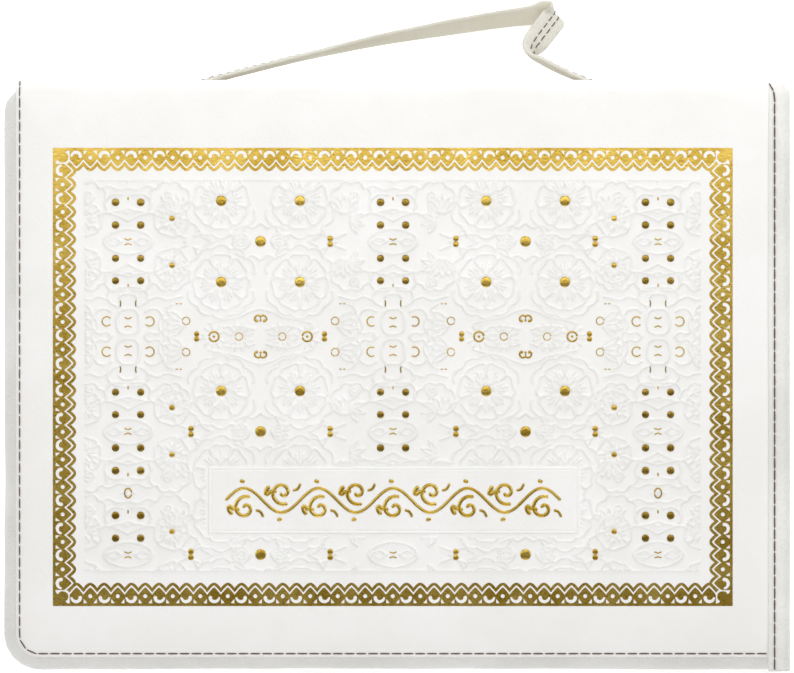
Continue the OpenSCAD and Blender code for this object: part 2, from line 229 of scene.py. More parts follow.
def add(tree, kind, inputs=None, **settings):
    """Adds a node, with its settings, and values or links on its inputs."""
    node = tree.nodes.new(kind)
    for key, value in settings.items():
        setattr(node, key, value)
    for key, value in (inputs or {}).items():
        if isinstance(value, bpy.types.NodeSocket):
            tree.links.new(value, node.inputs[key])
        else:
            node.inputs[key].default_value = value
    return node


def start(name, base, **values):
    """A new material of one Principled shader, and its Object coordinates in millimetres."""
    m = bpy.data.materials.new(name)
    m.use_nodes = True
    tree = m.node_tree
    shader = tree.nodes["Principled BSDF"]
    shader.inputs["Base Color"].default_value = colour(base)
    for key, value in values.items():
        shader.inputs[key.replace("_", " ")].default_value = value
    where = add(tree, "ShaderNodeTexCoord").outputs["Object"]
    mm = add(tree, "ShaderNodeVectorMath", {0: where, 1: (1 / MM,) * 3}, operation="MULTIPLY")
    return m, tree, shader, mm.outputs[0]


def ramp(tree, value, low, high, dark, light):
    """A colour that goes from dark to light as value goes from low to high."""
    node = add(tree, "ShaderNodeValToRGB", {"Fac": value})
    node.color_ramp.elements[0].position, node.color_ramp.elements[1].position = low, high
    node.color_ramp.elements[0].color, node.color_ramp.elements[1].color = dark, light
    return node.outputs["Color"]


def bumped(tree, shader, height, depth_mm, strength=1.0):
    """Relief too fine for the mesh: height from 0 to 1 is depth_mm deep."""
    bump = add(tree, "ShaderNodeBump", {"Strength": strength, "Distance": depth_mm * MM, "Height": height})
    tree.links.new(bump.outputs["Normal"], shader.inputs["Normal"])
    return bump


def leathercloth(name, base, dirt, grain_mm, depth_mm, roughness, coat=0.0):
    """Coated cloth pressed with a grain: rounded pebbles, finer creases between them, and faint handling
    marks."""
    m, tree, shader, mm = start(name, base, Roughness=roughness, IOR=1.5, Coat_Weight=coat,
                                Coat_Roughness=0.35)
    pebble = add(tree, "ShaderNodeTexVoronoi", {"Vector": mm, "Scale": 1 / grain_mm, "Smoothness": 0.6},
                 feature="SMOOTH_F1")
    crease = add(tree, "ShaderNodeTexNoise", {"Vector": mm, "Scale": 0.45 / grain_mm, "Detail": 5.0})
    both = add(tree, "ShaderNodeMath", {0: crease.outputs["Fac"], 1: pebble.outputs["Distance"]},
               operation="SUBTRACT")
    bumped(tree, shader, both.outputs[0], depth_mm, 0.8)
    marks = add(tree, "ShaderNodeTexNoise", {"Vector": mm, "Scale": 0.03, "Detail": 3.0, "Roughness": 0.6})
    tint = ramp(tree, marks.outputs["Fac"], 0.38, 0.62, colour(dirt), colour(base))
    tree.links.new(tint, shader.inputs["Base Color"])
    rough = add(tree, "ShaderNodeMapRange", {"Value": pebble.outputs["Distance"], "From Max": 0.8,
                                             "To Min": roughness - 0.05, "To Max": roughness + 0.12})
    tree.links.new(rough.outputs[0], shader.inputs["Roughness"])
    return m


def foil(name, base, pale):
    """Hot stamped foil: bright metal laid over a grained skin, so that its gloss breaks up."""
    m, tree, shader, mm = start(name, base, Metallic=1.0, Roughness=0.28)
    skin = add(tree, "ShaderNodeTexNoise", {"Vector": mm, "Scale": 1.4, "Detail": 3.0})
    wear = add(tree, "ShaderNodeTexNoise", {"Vector": mm, "Scale": 0.12, "Detail": 4.0})
    tint = ramp(tree, wear.outputs["Fac"], 0.35, 0.65, colour(base), colour(pale))
    tree.links.new(tint, shader.inputs["Base Color"])
    rough = add(tree, "ShaderNodeMapRange", {"Value": skin.outputs["Fac"], "To Min": 0.18, "To Max": 0.42})
    tree.links.new(rough.outputs[0], shader.inputs["Roughness"])
    bumped(tree, shader, skin.outputs["Fac"], 0.12, 0.6)
    return m


def twisted_thread(name, base, dark, pitch_mm):
    """Waxed thread: the plies show as slanted bands, with painted shade in the grooves between them."""
    m, tree, shader, mm = start(name, base, Roughness=0.6, Sheen_Weight=0.3)
    plies = add(tree, "ShaderNodeTexWave", {"Vector": mm, "Scale": 0.5 / pitch_mm, "Distortion": 0.6},
                bands_direction="DIAGONAL")
    # The dark colour in the troughs between plies is painted shade
    tint = ramp(tree, plies.outputs["Fac"], 0.2, 0.8, colour(dark), colour(base))
    tree.links.new(tint, shader.inputs["Base Color"])
    bumped(tree, shader, plies.outputs["Fac"], 0.15)
    return m


def woven(name, base, dark, thread_mm, roughness=0.85):
    """Plain weave: two sets of bands at right angles, raised in turn, with slubs."""
    m, tree, shader, mm = start(name, base, Roughness=roughness, Sheen_Weight=0.25)
    bands = [
        add(tree, "ShaderNodeTexWave", {"Vector": mm, "Scale": 0.25 / thread_mm, "Distortion": 0.3},
            bands_direction=axis).outputs["Fac"]
        for axis in ("X", "Y", "Z")
    ]
    across = add(tree, "ShaderNodeMath", {0: bands[0], 1: bands[1]}, operation="MULTIPLY")
    weave = add(tree, "ShaderNodeMath", {0: across.outputs[0], 1: bands[2]}, operation="ADD")
    slub = add(tree, "ShaderNodeTexNoise", {"Vector": mm, "Scale": 0.6, "Detail": 4.0})
    tint = ramp(tree, slub.outputs["Fac"], 0.3, 0.7, colour(dark), colour(base))
    tree.links.new(tint, shader.inputs["Base Color"])
    bumped(tree, shader, weave.outputs[0], 0.12)
    return m


def plated_metal(name, base, roughness=0.22):
    """Nickel plate over a die casting: bright, with faint tumbling marks."""
    m, tree, shader, mm = start(name, base, Metallic=1.0, Roughness=roughness)
    marks = add(tree, "ShaderNodeTexNoise", {"Vector": mm, "Scale": 2.5, "Detail": 6.0})
    rough = add(tree, "ShaderNodeMapRange", {"Value": marks.outputs["Fac"], "To Min": roughness - 0.08,
                                             "To Max": roughness + 0.15})
    tree.links.new(rough.outputs[0], shader.inputs["Roughness"])
    bumped(tree, shader, marks.outputs["Fac"], 0.03)
    return m


def nylon(name, base):
    """Drawn nylon: smooth and a little translucent."""
    m, tree, shader, mm = start(name, base, Roughness=0.35, IOR=1.53, Subsurface_Weight=0.15)
    shader.inputs["Subsurface Scale"].default_value = 0.6 * MM
    tone = add(tree, "ShaderNodeTexNoise", {"Vector": mm, "Scale": 0.8, "Detail": 2.0})
    tint = ramp(tree, tone.outputs["Fac"], 0.3, 0.7, colour("#DDD8CE"), colour(base))
    tree.links.new(tint, shader.inputs["Base Color"])
    return m


def grey_board(name, base, dark):
    """Uncoated board: short grey fibres."""
    m, tree, shader, mm = start(name, base, Roughness=0.9)
    fibre = add(tree, "ShaderNodeTexNoise", {"Vector": mm, "Scale": 1.2, "Detail": 8.0, "Roughness": 0.7})
    tint = ramp(tree, fibre.outputs["Fac"], 0.35, 0.65, colour(dark), colour(base))
    tree.links.new(tint, shader.inputs["Base Color"])
    bumped(tree, shader, fibre.outputs["Fac"], 0.08)
    return m


def page_edges(name, base, dark, sheet_mm):
    """The cut edges of a block of pages: fine lines along the sheets, some a little darker."""
    m, tree, shader, mm = start(name, base, Roughness=0.8)
    flat = add(tree, "ShaderNodeMapping", {"Vector": mm, "Scale": (0.04, 0.04, 1 / sheet_mm)})
    sheets = add(tree, "ShaderNodeTexNoise", {"Vector": flat.outputs[0], "Scale": 1.0, "Detail": 3.0})
    tint = ramp(tree, sheets.outputs["Fac"], 0.32, 0.58, colour(dark), colour(base))
    tree.links.new(tint, shader.inputs["Base Color"])
    bumped(tree, shader, sheets.outputs["Fac"], 0.15)
    return m


def maths(tree, operation, a, b=0.0):
    """The outcome of one Math node."""
    return add(tree, "ShaderNodeMath", {0: a, 1: b}, operation=operation).outputs[0]


def frame_print(tree, mm):
    """1 on two printed lines that run inside the card's edge, and 0 elsewhere: a point's distance past a
    rectangle's sides, the greater of the two, is compared with each line's place."""
    low, high = span("booklet_1_cover")
    parts = add(tree, "ShaderNodeSeparateXYZ", {0: mm})
    beyond = []
    for k in (0, 1):
        off = maths(tree, "ABSOLUTE", maths(tree, "SUBTRACT", parts.outputs[k], (low[k] + high[k]) / 2))
        beyond.append(maths(tree, "SUBTRACT", off, (high[k] - low[k]) / 2 - 9.0))
    past = maths(tree, "MAXIMUM", beyond[0], beyond[1])
    thick = maths(tree, "COMPARE", past, 0.0)
    thick.node.inputs[2].default_value = 0.7
    thin = maths(tree, "COMPARE", past, -3.0)
    thin.node.inputs[2].default_value = 0.25
    return maths(tree, "MAXIMUM", thick, thin)


def laminated_card(name, base, deep):
    """Printed card under a satin film: a soft mottle in the print and a little orange peel in the film."""
    m, tree, shader, mm = start(name, base, Roughness=0.38, Coat_Weight=0.4, Coat_Roughness=0.2)
    mottle = add(tree, "ShaderNodeTexNoise", {"Vector": mm, "Scale": 0.08, "Detail": 5.0, "Roughness": 0.65})
    tint = ramp(tree, mottle.outputs["Fac"], 0.3, 0.7, colour(deep), colour(base))
    printed = add(tree, "ShaderNodeMix", data_type="RGBA")
    tree.links.new(frame_print(tree, mm), printed.inputs[0])
    tree.links.new(tint, printed.inputs[6])
    printed.inputs[7].default_value = colour("#E6D7A2")
    tree.links.new(printed.outputs[2], shader.inputs["Base Color"])
    peel = add(tree, "ShaderNodeTexNoise", {"Vector": mm, "Scale": 0.9, "Detail": 2.0})
    bumped(tree, shader, peel.outputs["Fac"], 0.04)
    return m


# Smooth coated cloth of the panels: the press has nearly flattened its grain
panel_leather = leathercloth("panel_leathercloth", "#EFEEEC", "#EBEAE7", 0.9, 0.05, 0.42, 0.15)
# Pebbled coated cloth of the walls, the spine and the strap's outer face
grain_leather = leathercloth("pebbled_leathercloth", "#E9E8E5", "#DEDDD9", 0.85, 0.22, 0.5)
# The same cloth on the strap's outer face, greyer: partly the strap's own tone, partly painted shade
strap_face = leathercloth("strap_leathercloth", "#D9D6CC", "#CBC7BB", 0.8, 0.3, 0.55)
# Flesh side and cut edges of the strap, a little darker and matt
strap_back = leathercloth("strap_backing", "#D9D5C6", "#CFCBBB", 0.7, 0.08, 0.7)
# Hot stamped foil of the border, the field's marks and the plate: metal gloss broken up by the grain below
gold_foil = foil("stamped_gold_foil", "#B39336", "#CDAF55")
# Waxed brown thread of the visible seams: matt, with painted shade as dark lines between its plies
brown_thread = twisted_thread("waxed_brown_thread", "#7A5B42", "#4A3323", 0.5)
# The strap's thread, a redder brown
strap_thread = twisted_thread("strap_brown_thread", "#6E4A2E", "#3E2815", 0.5)
# Woven zip tape, off-white and matt
zip_tape = woven("zip_tape_weave", "#DAD5CC", "#C9C3B8", 0.45)
# Pale thread that sews the tape to the wall, nearly lost against it
linen_thread = twisted_thread("linen_thread", "#D8D2C2", "#B9B2A0", 0.4)
# Tape end of the zip, painted dark: a painted shadow where the zip ends by the spine
zip_end_shadow_cloth = woven("painted_shadow_tape_weave", "#3C3530", "#26201C", 0.45)
# Beige lining cloth, soft and without gloss
lining_cloth = woven("lining_cloth", "#D8CFC0", "#C8BDAB", 0.4)
# Braided elastic of the binding cords, nearly black
elastic_braid = woven("elastic_braid", "#3A3430", "#1F1B18", 0.3)
# Moulded coil of the zip: smooth and a little see-through at its edges
zip_nylon = nylon("zip_coil_nylon", "#EFEBE3")
# Nickel plate of the slider, pull and stops: bright, with tumbling marks
zip_metal = plated_metal("nickel_plated_zinc", "#C6C7C9")
# Case board: grey, with short fibres
board = grey_board("grey_board", "#8D857A", "#6F685E")
# Foam under the front: cream, matt and finely speckled
foam = grey_board("closed_cell_foam", "#E9E4D8", "#DAD3C4")
# Cream book paper seen at its cut edges: thin lines, one to a sheet
paper = page_edges("cream_book_paper", "#F3ECD8", "#CDC3A8", 0.11)
# Printed and laminated card of the six booklets: the colour of its ink, and a deeper one in its mottle
CARDS = {
    1: ("#A32A2A", "#7E1C20"), 2: ("#D9771E", "#B85F14"), 3: ("#D9A92A", "#B98C1D"),
    4: ("#2E8B57", "#1F6B41"), 5: ("#3F74A8", "#2D5885"), 6: ("#5F3A8C", "#48296E"),
}


# ---- Blind tooling of the front panel ----

# The tooled pattern mirrors about upright axes and level rows, so one quarter of a repeat is drawn and folded
# out. The gilded field, the repeat's two axes and rows, and the plate that interrupts it
CENTRE_X = -1.3
BAND_X = 87.5
MEDAL_X = BAND_X / 2
ROW_Y = 12.7
ROW_END = 51.7
FIELD = (-102.9, 100.1, -64.6, 64.4)
PLATE = (plate_lo[0], plate_hi[0], plate_lo[1], plate_hi[1])
TILE_STEP = 0.12
TILE_SIZE = (round(BAND_X / TILE_STEP) + 1, round(ROW_END / TILE_STEP) + 1)
RIDGE_H = 0.62
RIDGE_W = 0.3
# How far round a gold mark the relief is pressed down
PRESSED = 0.7


def turned(points, centre, degrees=0.0):
    """Points turned about the origin and moved to a centre."""
    a = math.radians(degrees)
    p = np.asarray(points, float)
    x = p[:, 0] * math.cos(a) - p[:, 1] * math.sin(a)
    y = p[:, 0] * math.sin(a) + p[:, 1] * math.cos(a)
    return np.stack([x + centre[0], y + centre[1]], 1)


def petal(root, tip, half):
    """Outline of a broad petal along +X, open at its root, with a shallow notch at its tip."""
    long = tip - root
    side = [(root, 0.3 * half), (root + 0.3 * long, 0.82 * half), (root + 0.66 * long, half),
            (root + 0.93 * long, 0.66 * half)]
    notch = [(tip - 0.07 * long, 0)]
    back = [(x, -y) for x, y in side[::-1]]
    return smooth_line(side + notch + back, 6)


def flower(centre, radius, petals, veins=3, spin=0.0):
    """A rosette of petals, each with veins that fan out from the heart."""
    lines = []
    half = 0.8 * radius * math.tan(math.pi / petals)
    for k in range(petals):
        way = spin + 360 * k / petals
        lines.append(turned(petal(0.45 * radius, radius, half), centre, way))
        for j in range(veins):
            off = (j - (veins - 1) / 2) * 235 / petals / veins
            far = 0.72 if off == 0 else 0.64
            lines.append(turned(np.array([(0.26 * radius, 0), (far * radius, 0)]), centre, way + off))
    return lines


def scallops(centre, radius, start, end, lobes, depth):
    """A garland edge: an arc whose radius swells in round lobes."""
    a = np.linspace(0, 1, 10 * lobes + 1)
    r = radius + depth * np.abs(np.sin(math.pi * lobes * a))
    way = np.radians(start + (end - start) * a)
    return np.stack([centre[0] + r * np.cos(way), centre[1] + r * np.sin(way)], 1)


def spiral(centre, radius, turns, start=0.0):
    """A curl whose radius grows evenly with its angle."""
    t = np.linspace(0.08, 1, round(18 * turns))
    way = math.radians(start) + TURN * turns * t
    return np.stack([centre[0] + radius * t * np.cos(way), centre[1] + radius * t * np.sin(way)], 1)


def fan(centre, radius, start, end, leaves):
    """Narrow leaves side by side, spread from one point."""
    lines = []
    for way in np.linspace(start, end, leaves):
        leaf = smooth_line([(0.12 * radius, 0), (0.6 * radius, 0.13 * radius), (radius, 0)], 5)
        lines.append(turned(leaf, centre, way))
        lines.append(turned(leaf * (1, -1), centre, way))
    return lines


def rays(centre, near, far, count, spin=0.0):
    """Short straight strokes round a point."""
    return [turned([(near, 0), (far, 0)], centre, spin + 360 * k / count) for k in range(count)]


def rounded_frame(centre, wide, tall):
    """A squarish closed curve: a superellipse of power three."""
    a = np.linspace(0, TURN, 49)
    x = np.sign(np.cos(a)) * np.abs(np.cos(a)) ** (2 / 3) * wide / 2
    y = np.sign(np.sin(a)) * np.abs(np.sin(a)) ** (2 / 3) * tall / 2
    return np.stack([centre[0] + x, centre[1] + y], 1)


def medallion(side):
    """What stands on one side of a medallion's upright axis; side is -1 towards the middle and +1 outward."""
    c = MEDAL_X
    lines = []
    for v in (18.0, 44.8):
        lines += flower((c + side * 13, v), 9.4, 7, spin=-90 if v > 30 else 90)
    lines.append(scallops((c + side * 13, 44.8), 11.3, 195, 345, 5, 1.1))
    lines.append(scallops((c + side * 13, 18.0), 11.3, 15, 165, 5, 1.1))
    lines.append(scallops((c + side * 13, 18.0), 11.0, 195, 345, 5, 1.0))
    for v in (33.1, 30.5):
        lines.append(spiral((c + side * 8.2, v), 1.5, 1.6, 90 - 90 * side))
    lines += fan((c + side * 3.1, 31.4), 4.6, 90 - 125 * side, 90 - 55 * side, 4)
    star = [(4.6, 0), (1.5, 1.5), (0, 4.6), (-1.5, 1.5), (-4.6, 0), (-1.5, -1.5), (0, -4.6), (1.5, -1.5),
            (4.6, 0)]
    lines.append(turned(np.array(star), (c + side * 20.5, 31.4)))
    lines += [turned(np.array([(-4, d), (0, 0.4 * d), (4, d)]), (c + side * 24, 31.4)) for d in (-2.6, 2.6)]
    for v, up in ((44.0, 1), (22.5, -1)):
        lines += fan((c + side * 27.5, v - 4 * up), 6.8, 90 * up - 42, 90 * up + 42, 5)
        lines.append(spiral((c + side * 30.8, v + 3.6 * up - 1), 1.9, 1.8, 60 * up))
        lines.append(scallops((c + side * 30, v), 6.6, 90 * up - 75, 90 * up + 75, 4, 0.9))
    lines += fan((c + side * 24.5, 4.2), 7.5, 90 - 90 * side - 34, 90 - 90 * side + 34, 4)
    lines.append(scallops((c + side * 26.0, 4.0), 6.6, 90 - 90 * side - 80, 90 - 90 * side + 80, 3, 0.9))
    lines += rays((c + side * 7.1, 0), 2.3, 4.6, 12, 15)
    lines += rays((c + side * 15.4, 0), 2.6, 4.0, 10, 9)
    waves = (
        ((0, 9.2), (4, 8.1), (7.5, 6.4), (12, 5.6), (17, 4.4)),
        ((2, 2.4), (4.5, 3.1), (9, 3.6), (12, 3.1)),
        ((0, 25.2), (2.5, 26.8), (5, 26.2), (8, 27.6)),
        ((0, 37.6), (2.5, 36), (5, 36.8), (8, 35.4)),
        ((26, 13.3), (31, 12.2), (34, 13.2), (37, 12.2)),
    )
    lines += [smooth_line([(c + side * p, q) for p, q in wave], 8) for wave in waves]
    return lines


def band(axis, side):
    """One side of the upright band between medallions, whose axis stands at that distance from the middle."""
    def at(points):
        return smooth_line([(axis + side * p, q) for p, q in points], 8)

    lines = [rounded_frame((axis, 4.9), 7.4, 8.2), rounded_frame((axis, 11.6), 6.0, 5.0)]
    for v, up in ((21.6, -1), (40.6, 1)):
        lines.append(at([(0, v - 2.4 * up), (3.6, v - 0.6 * up), (7.5, v + 0.3 * up), (10, v - 0.6 * up)]))
        lines.append(at([(0, v + 0.2 * up), (2.8, v + 0.9 * up), (6.2, v + 0.3 * up)]))
        lines.append(at([(0, v + 1.7 * up), (2.8, v + 1.1 * up)]))
        lines.append(at([(1.5, v + 6.2 * up), (5.4, v + 6.3 * up), (7.6, v + 3.7 * up), (7, v + 1.2 * up)]))
    lines.append(at([(0, 35.6), (3.4, 35), (6.6, 33.6), (8, 31.4), (6.6, 29.2), (3.4, 27.8), (0, 27.2)]))
    lines.append(at([(2.2, 31.4), (4.5, 32.6), (7.2, 31.4), (4.5, 30.2), (2.2, 31.4)]))
    lines.append(at([(5.4, 0), (7, 1.4), (9.6, 1), (11.4, 2.6), (11.8, 5.6), (10.2, 8.6), (7.4, 9.2),
                     (5.6, 8.2)]))
    lines.append(at([(3.2, 9.8), (6, 11.4), (6.6, 14), (4.2, 16), (0, 16.4)]))
    lines.append(at([(0, 49), (3.4, 48.6), (6.4, 49.8), (9.4, 49)]))
    lines.append(at([(0, 51.2), (2.2, 51.7)]))
    return lines


def drawn_strokes():
    """Every raised line of the repeat, as points in millimetres from the middle axis and the main row."""
    lines = []
    for side in (-1, 1):
        lines += medallion(side)
        lines += band(0 if side > 0 else BAND_X, side)
    # Towards the case's ends small five-petalled flowers stand beside the bands, and fans towards its middle
    for v in (23.5, 38.8):
        lines += flower((MEDAL_X + 29.3, v), 5.6, 5, 2, 0)
        lines += fan((MEDAL_X - 29.3, v), 5.2, 120, 240, 4)
    return lines


def near_line(line, reach):
    """The part of the repeat within reach of a line, as two slices, and each sample's distance to it."""
    line = np.asarray(line, float)
    low = np.maximum(0, ((line.min(0) - reach) / TILE_STEP).astype(int))
    high = np.minimum(TILE_SIZE, ((line.max(0) + reach) / TILE_STEP).astype(int) + 2)
    high = np.maximum(low, high)
    u, v = np.meshgrid(np.arange(low[0], high[0]), np.arange(low[1], high[1]), indexing="ij")
    p = np.stack([u, v], -1)[..., None, :] * TILE_STEP
    a, ab = line[:-1], np.diff(line, axis=0)
    t = np.clip(((p - a) * ab).sum(-1) / np.maximum((ab**2).sum(-1), 1e-9), 0, 1)
    near = np.linalg.norm(p - (a + t[..., None] * ab), axis=-1).min(-1)
    return (slice(low[0], high[0]), slice(low[1], high[1])), near


def tooled_tile():
    """Height of the tooling over the repeat: each line is a ridge, its height times exp of minus the square
    of distance over width, and the highest ridge wins. It is pressed flat under each gold mark."""
    tile = np.zeros(TILE_SIZE)
    for line in drawn_strokes():
        part, near = near_line(line, 3 * RIDGE_W)
        tile[part] = np.maximum(tile[part], RIDGE_H * np.exp(-((near / RIDGE_W) ** 2)))
    lines, dots = field_marks()
    marks = lines + [([centre, centre], 2 * radius) for centre, radius in dots]
    for line, width in marks:
        part, near = near_line(line, width / 2 + PRESSED)
        tile[part] *= np.clip((near - width / 2) / PRESSED, 0, 1)
    return tile


def folded(value, half):
    """A distance that runs out to half and back again."""
    return half - np.abs(np.mod(np.abs(value), 2 * half) - half)


def inside(x, y, window, fade):
    """1 inside a window and 0 outside it, with a short fade."""
    edge = np.minimum(np.minimum(x - window[0], window[1] - x), np.minimum(y - window[2], window[3] - y))
    return np.clip(edge / fade + 0.5, 0, 1)


def tooling(x, y):
    """The tile looked up between its samples, cut to the field and kept off the title plate."""
    tile = tooled_tile()
    u = folded(x - CENTRE_X, BAND_X) / TILE_STEP
    v = folded(y - ROW_Y, ROW_END) / TILE_STEP
    i = np.minimum(u.astype(int), tile.shape[0] - 2)
    j = np.minimum(v.astype(int), tile.shape[1] - 2)
    fu, fv = u - i, v - j
    low = tile[i, j] * (1 - fu) + tile[i + 1, j] * fu
    high = tile[i, j + 1] * (1 - fu) + tile[i + 1, j + 1] * fu
    height = (low * (1 - fv) + high * fv) * inside(x, y, FIELD, 0.3)
    plate = (PLATE[0] - 1, PLATE[1] + 1, PLATE[2] - 1, PLATE[3] + 1)
    height *= 1 - inside(x, y, plate, 0.6)
    for edge in FIELD[2:]:
        line = np.exp(-(((y - edge) / 0.3) ** 2)) * inside(x, y, (FIELD[0] + 2, FIELD[1], -99, 99), 1)
        height = np.maximum(height, 0.26 * line)
    return height


# ---- The padded panels ----

PUFF = 1.5
SEAM_SINK = 0.45


def puff(d_left, d_right, d_low, d_high):
    """How far the foam lifts the skin, from its distances to the four edges: each takes away a share that
    falls off as exp of minus distance over reach."""
    rise = 1.0
    for d, reach in ((d_left, 6.5), (d_right, 9.0), (d_low, 6.5), (d_high, 8.0)):
        rise = rise * (1 - np.exp(-np.maximum(d, 0) / reach))
    return PUFF * rise


def corner_pull(x, y):
    """Moves points near the lower left corner so that a square grid takes up the rounded corner: inside the
    block, each unit square point (p, q) goes to (p sqrt(1 - q^2 / 2), q sqrt(1 - p^2 / 2))."""
    r = CORNER_R + PANEL_EDGE
    cx, cy = SEAM_X0 - PANEL_EDGE + r, SEAM_Y0 - PANEL_EDGE + r
    p, q = np.clip((cx - x) / r, 0, 1), np.clip((cy - y) / r, 0, 1)
    return x + r * (p - p * np.sqrt(1 - q * q / 2)), y + r * (q - q * np.sqrt(1 - p * p / 2))


def edge_distance(x, y):
    """Distance in from the panel's left and lower edge, round the corner."""
    r = CORNER_R + PANEL_EDGE
    cx, cy = SEAM_X0 - PANEL_EDGE + r, SEAM_Y0 - PANEL_EDGE + r
    dx, dy = np.maximum(cx - x, 0), np.maximum(cy - y, 0)
    return np.where((dx > 0) & (dy > 0), r - np.hypot(dx, dy), np.minimum(x - cx, y - cy) + r)


def seam_dip(d):
    """The stitches pull the skin into a groove, and the edge beyond them rounds down."""
    groove = SEAM_SINK * np.exp(-(((d - PANEL_EDGE) / 0.7) ** 2))
    edge = np.clip(1 - d / 0.8, 0, 1)
    return -groove - 1.1 * (1 - np.sqrt(np.maximum(1 - edge * edge, 0)))


def skin(x, y):
    """Height of the flat part of the front panel's skin, tooling left out."""
    d_high = TOP_Y - ROLL_R + ROLL_R * math.pi / 2 - y
    left = x - SEAM_X0 + PANEL_EDGE
    lift = puff(left, WALL_X1 - x, y - SEAM_Y0 + PANEL_EDGE, d_high)
    soft = 0.09 * ripple(x / 23, y / 23, 5) + 0.03 * ripple(x / 7, y / 7, 6)
    return CASE_T + (lift + soft * np.clip(lift, 0, 1)) + seam_dip(edge_distance(x, y))


def stepped(*marks):
    """Grid places through the marks: each mark is (from, to, step)."""
    runs = [np.arange(round((b - a) / s)) * (b - a) / round((b - a) / s) + a for a, b, s in marks]
    return np.concatenate(runs + [[marks[-1][1]]])


def closed_skin(name, top, under):
    """A thick skin: a fine top sheet and a coarse lower one that meets it all round its rim."""
    rows, cols = top.shape[:2]
    r2, c2 = under.shape[:2]
    lower = grid_quads(r2, c2)[:, ::-1] + rows * cols
    points = np.vstack([top.reshape(-1, 3), under.reshape(-1, 3)])
    return new_mesh(name, points, grid_quads(rows, cols), lower)


def every(count, step):
    """Grid numbers in steps, with the last one kept."""
    return np.unique(np.append(np.arange(0, count, step), count - 1))


def front_panel():
    """The foam-padded leathercloth of the front: soft at its seams, rolled over at the top, tooled in its
    field. Over the roll the skin stands off a round of the roll's radius by the puff."""
    x = stepped((SEAM_X0 - PANEL_EDGE, SEAM_X0 + 2, 0.15), (SEAM_X0 + 2, FIELD[0] - 0.4, 1.0),
                (FIELD[0] - 0.4, FIELD[1] + 0.4, 0.3), (FIELD[1] + 0.4, WALL_X1, 1.1))
    y = stepped((SEAM_Y0 - PANEL_EDGE, SEAM_Y0 + 2, 0.15), (SEAM_Y0 + 2, FIELD[2] - 0.6, 1.0),
                (FIELD[2] - 0.6, FIELD[3] + 0.6, 0.3), (FIELD[3] + 0.6, TOP_Y - ROLL_R, 1.0))
    gy, gx = np.meshgrid(y, x, indexing="ij")
    gx, gy = corner_pull(gx, gy)
    relief = np.zeros_like(gx)
    field = (y > FIELD[2] - 1.5) & (y < FIELD[3] + 1.5)
    relief[field] = tooling(gx[field], gy[field])
    flat = np.stack([gx, gy, skin(gx, gy) + relief], -1)
    turn = np.radians(np.linspace(0, 112, 20))[1:, None]
    along = ROLL_R * turn
    over_x = np.broadcast_to(x, (len(turn), len(x)))
    lift = puff(x - SEAM_X0 + PANEL_EDGE, WALL_X1 - x, 190.0, ROLL_R * math.pi / 2 - along)
    end = seam_dip(x - SEAM_X0 + PANEL_EDGE)
    r = ROLL_R + lift + end
    roll = np.stack([over_x, TOP_Y - ROLL_R + r * np.sin(turn), CASE_T - ROLL_R + r * np.cos(turn)], -1)
    top = np.concatenate([flat, roll])
    rows, cols = every(top.shape[0], 10), every(top.shape[1], 10)
    under = top[np.ix_(rows, cols)].copy()
    depth = np.minimum(np.minimum(np.arange(len(rows)), np.arange(len(rows))[::-1])[:, None],
                       np.minimum(np.arange(len(cols)), np.arange(len(cols))[::-1])[None])
    under[..., 2] = np.where(depth > 0, np.minimum(under[..., 2], CASE_T - 0.9), under[..., 2])
    rolled = under[..., 1] > TOP_Y - ROLL_R
    under[..., 1] -= np.where(rolled & (depth > 0), 1.3 * (under[..., 1] - TOP_Y + ROLL_R) / ROLL_R, 0)
    panel = closed_skin("front_panel_skin", top, under)
    return tie(panel, "front_cover", "white_leather", panel_leather, "front_leather")


def back_panel():
    """The back: thinner padding, no tooling, rounded at both left corners."""
    low, high = span("back_leather")
    x = stepped((low[0], low[0] + 2.4, 0.3), (low[0] + 2.4, high[0], 1.6))
    y = stepped((low[1], low[1] + 2.4, 0.3), (low[1] + 2.4, high[1] - 2.4, 1.6),
                (high[1] - 2.4, high[1], 0.3))
    gy, gx = np.meshgrid(y, x, indexing="ij")
    r = CORNER_R + SEAM_X0 - low[0]
    cx, cy0, cy1 = low[0] + r, low[1] + r, high[1] - r
    p = np.clip((cx - gx) / r, 0, 1)
    q = np.clip(np.maximum(cy0 - gy, gy - cy1) / r, 0, 1)
    up = np.where(gy > 0, -1.0, 1.0)
    px = gx + r * (p - p * np.sqrt(1 - q * q / 2))
    py = gy + up * r * (q - q * np.sqrt(1 - p * p / 2))
    dx = np.maximum(cx - px, 0)
    dy = np.maximum(np.maximum(cy0 - py, py - cy1), 0)
    straight = np.minimum(px - cx, np.minimum(py - cy0, cy1 - py)) + r
    d = np.where((dx > 0) & (dy > 0), r - np.hypot(dx, dy), straight)
    soft = 0.05 * ripple(px / 21, py / 21, 9) * np.clip(d / 9, 0, 1)
    lift = 0.45 * (1 - np.exp(-np.maximum(d, 0) / 5)) + soft
    outer = np.stack([px, py, -lift - seam_dip(d)], -1)[:, ::-1]
    rows, cols = every(outer.shape[0], 8), every(outer.shape[1], 8)
    inner = outer[np.ix_(rows, cols)].copy()
    depth = np.minimum(np.minimum(np.arange(len(rows)), np.arange(len(rows))[::-1])[:, None],
                       np.minimum(np.arange(len(cols)), np.arange(len(cols))[::-1])[None])
    inner[..., 2] = np.where(depth > 0, high[2], inner[..., 2])
    return tie(closed_skin("back_panel_skin", outer, inner), "back_case", "white_leather", panel_leather,
               "back_leather")


# ---- Gold foil ----

FOIL_LIFT = 0.06
CELL = 9.08
HALF_CELLS = (47, 31)
CORNER = 5.56


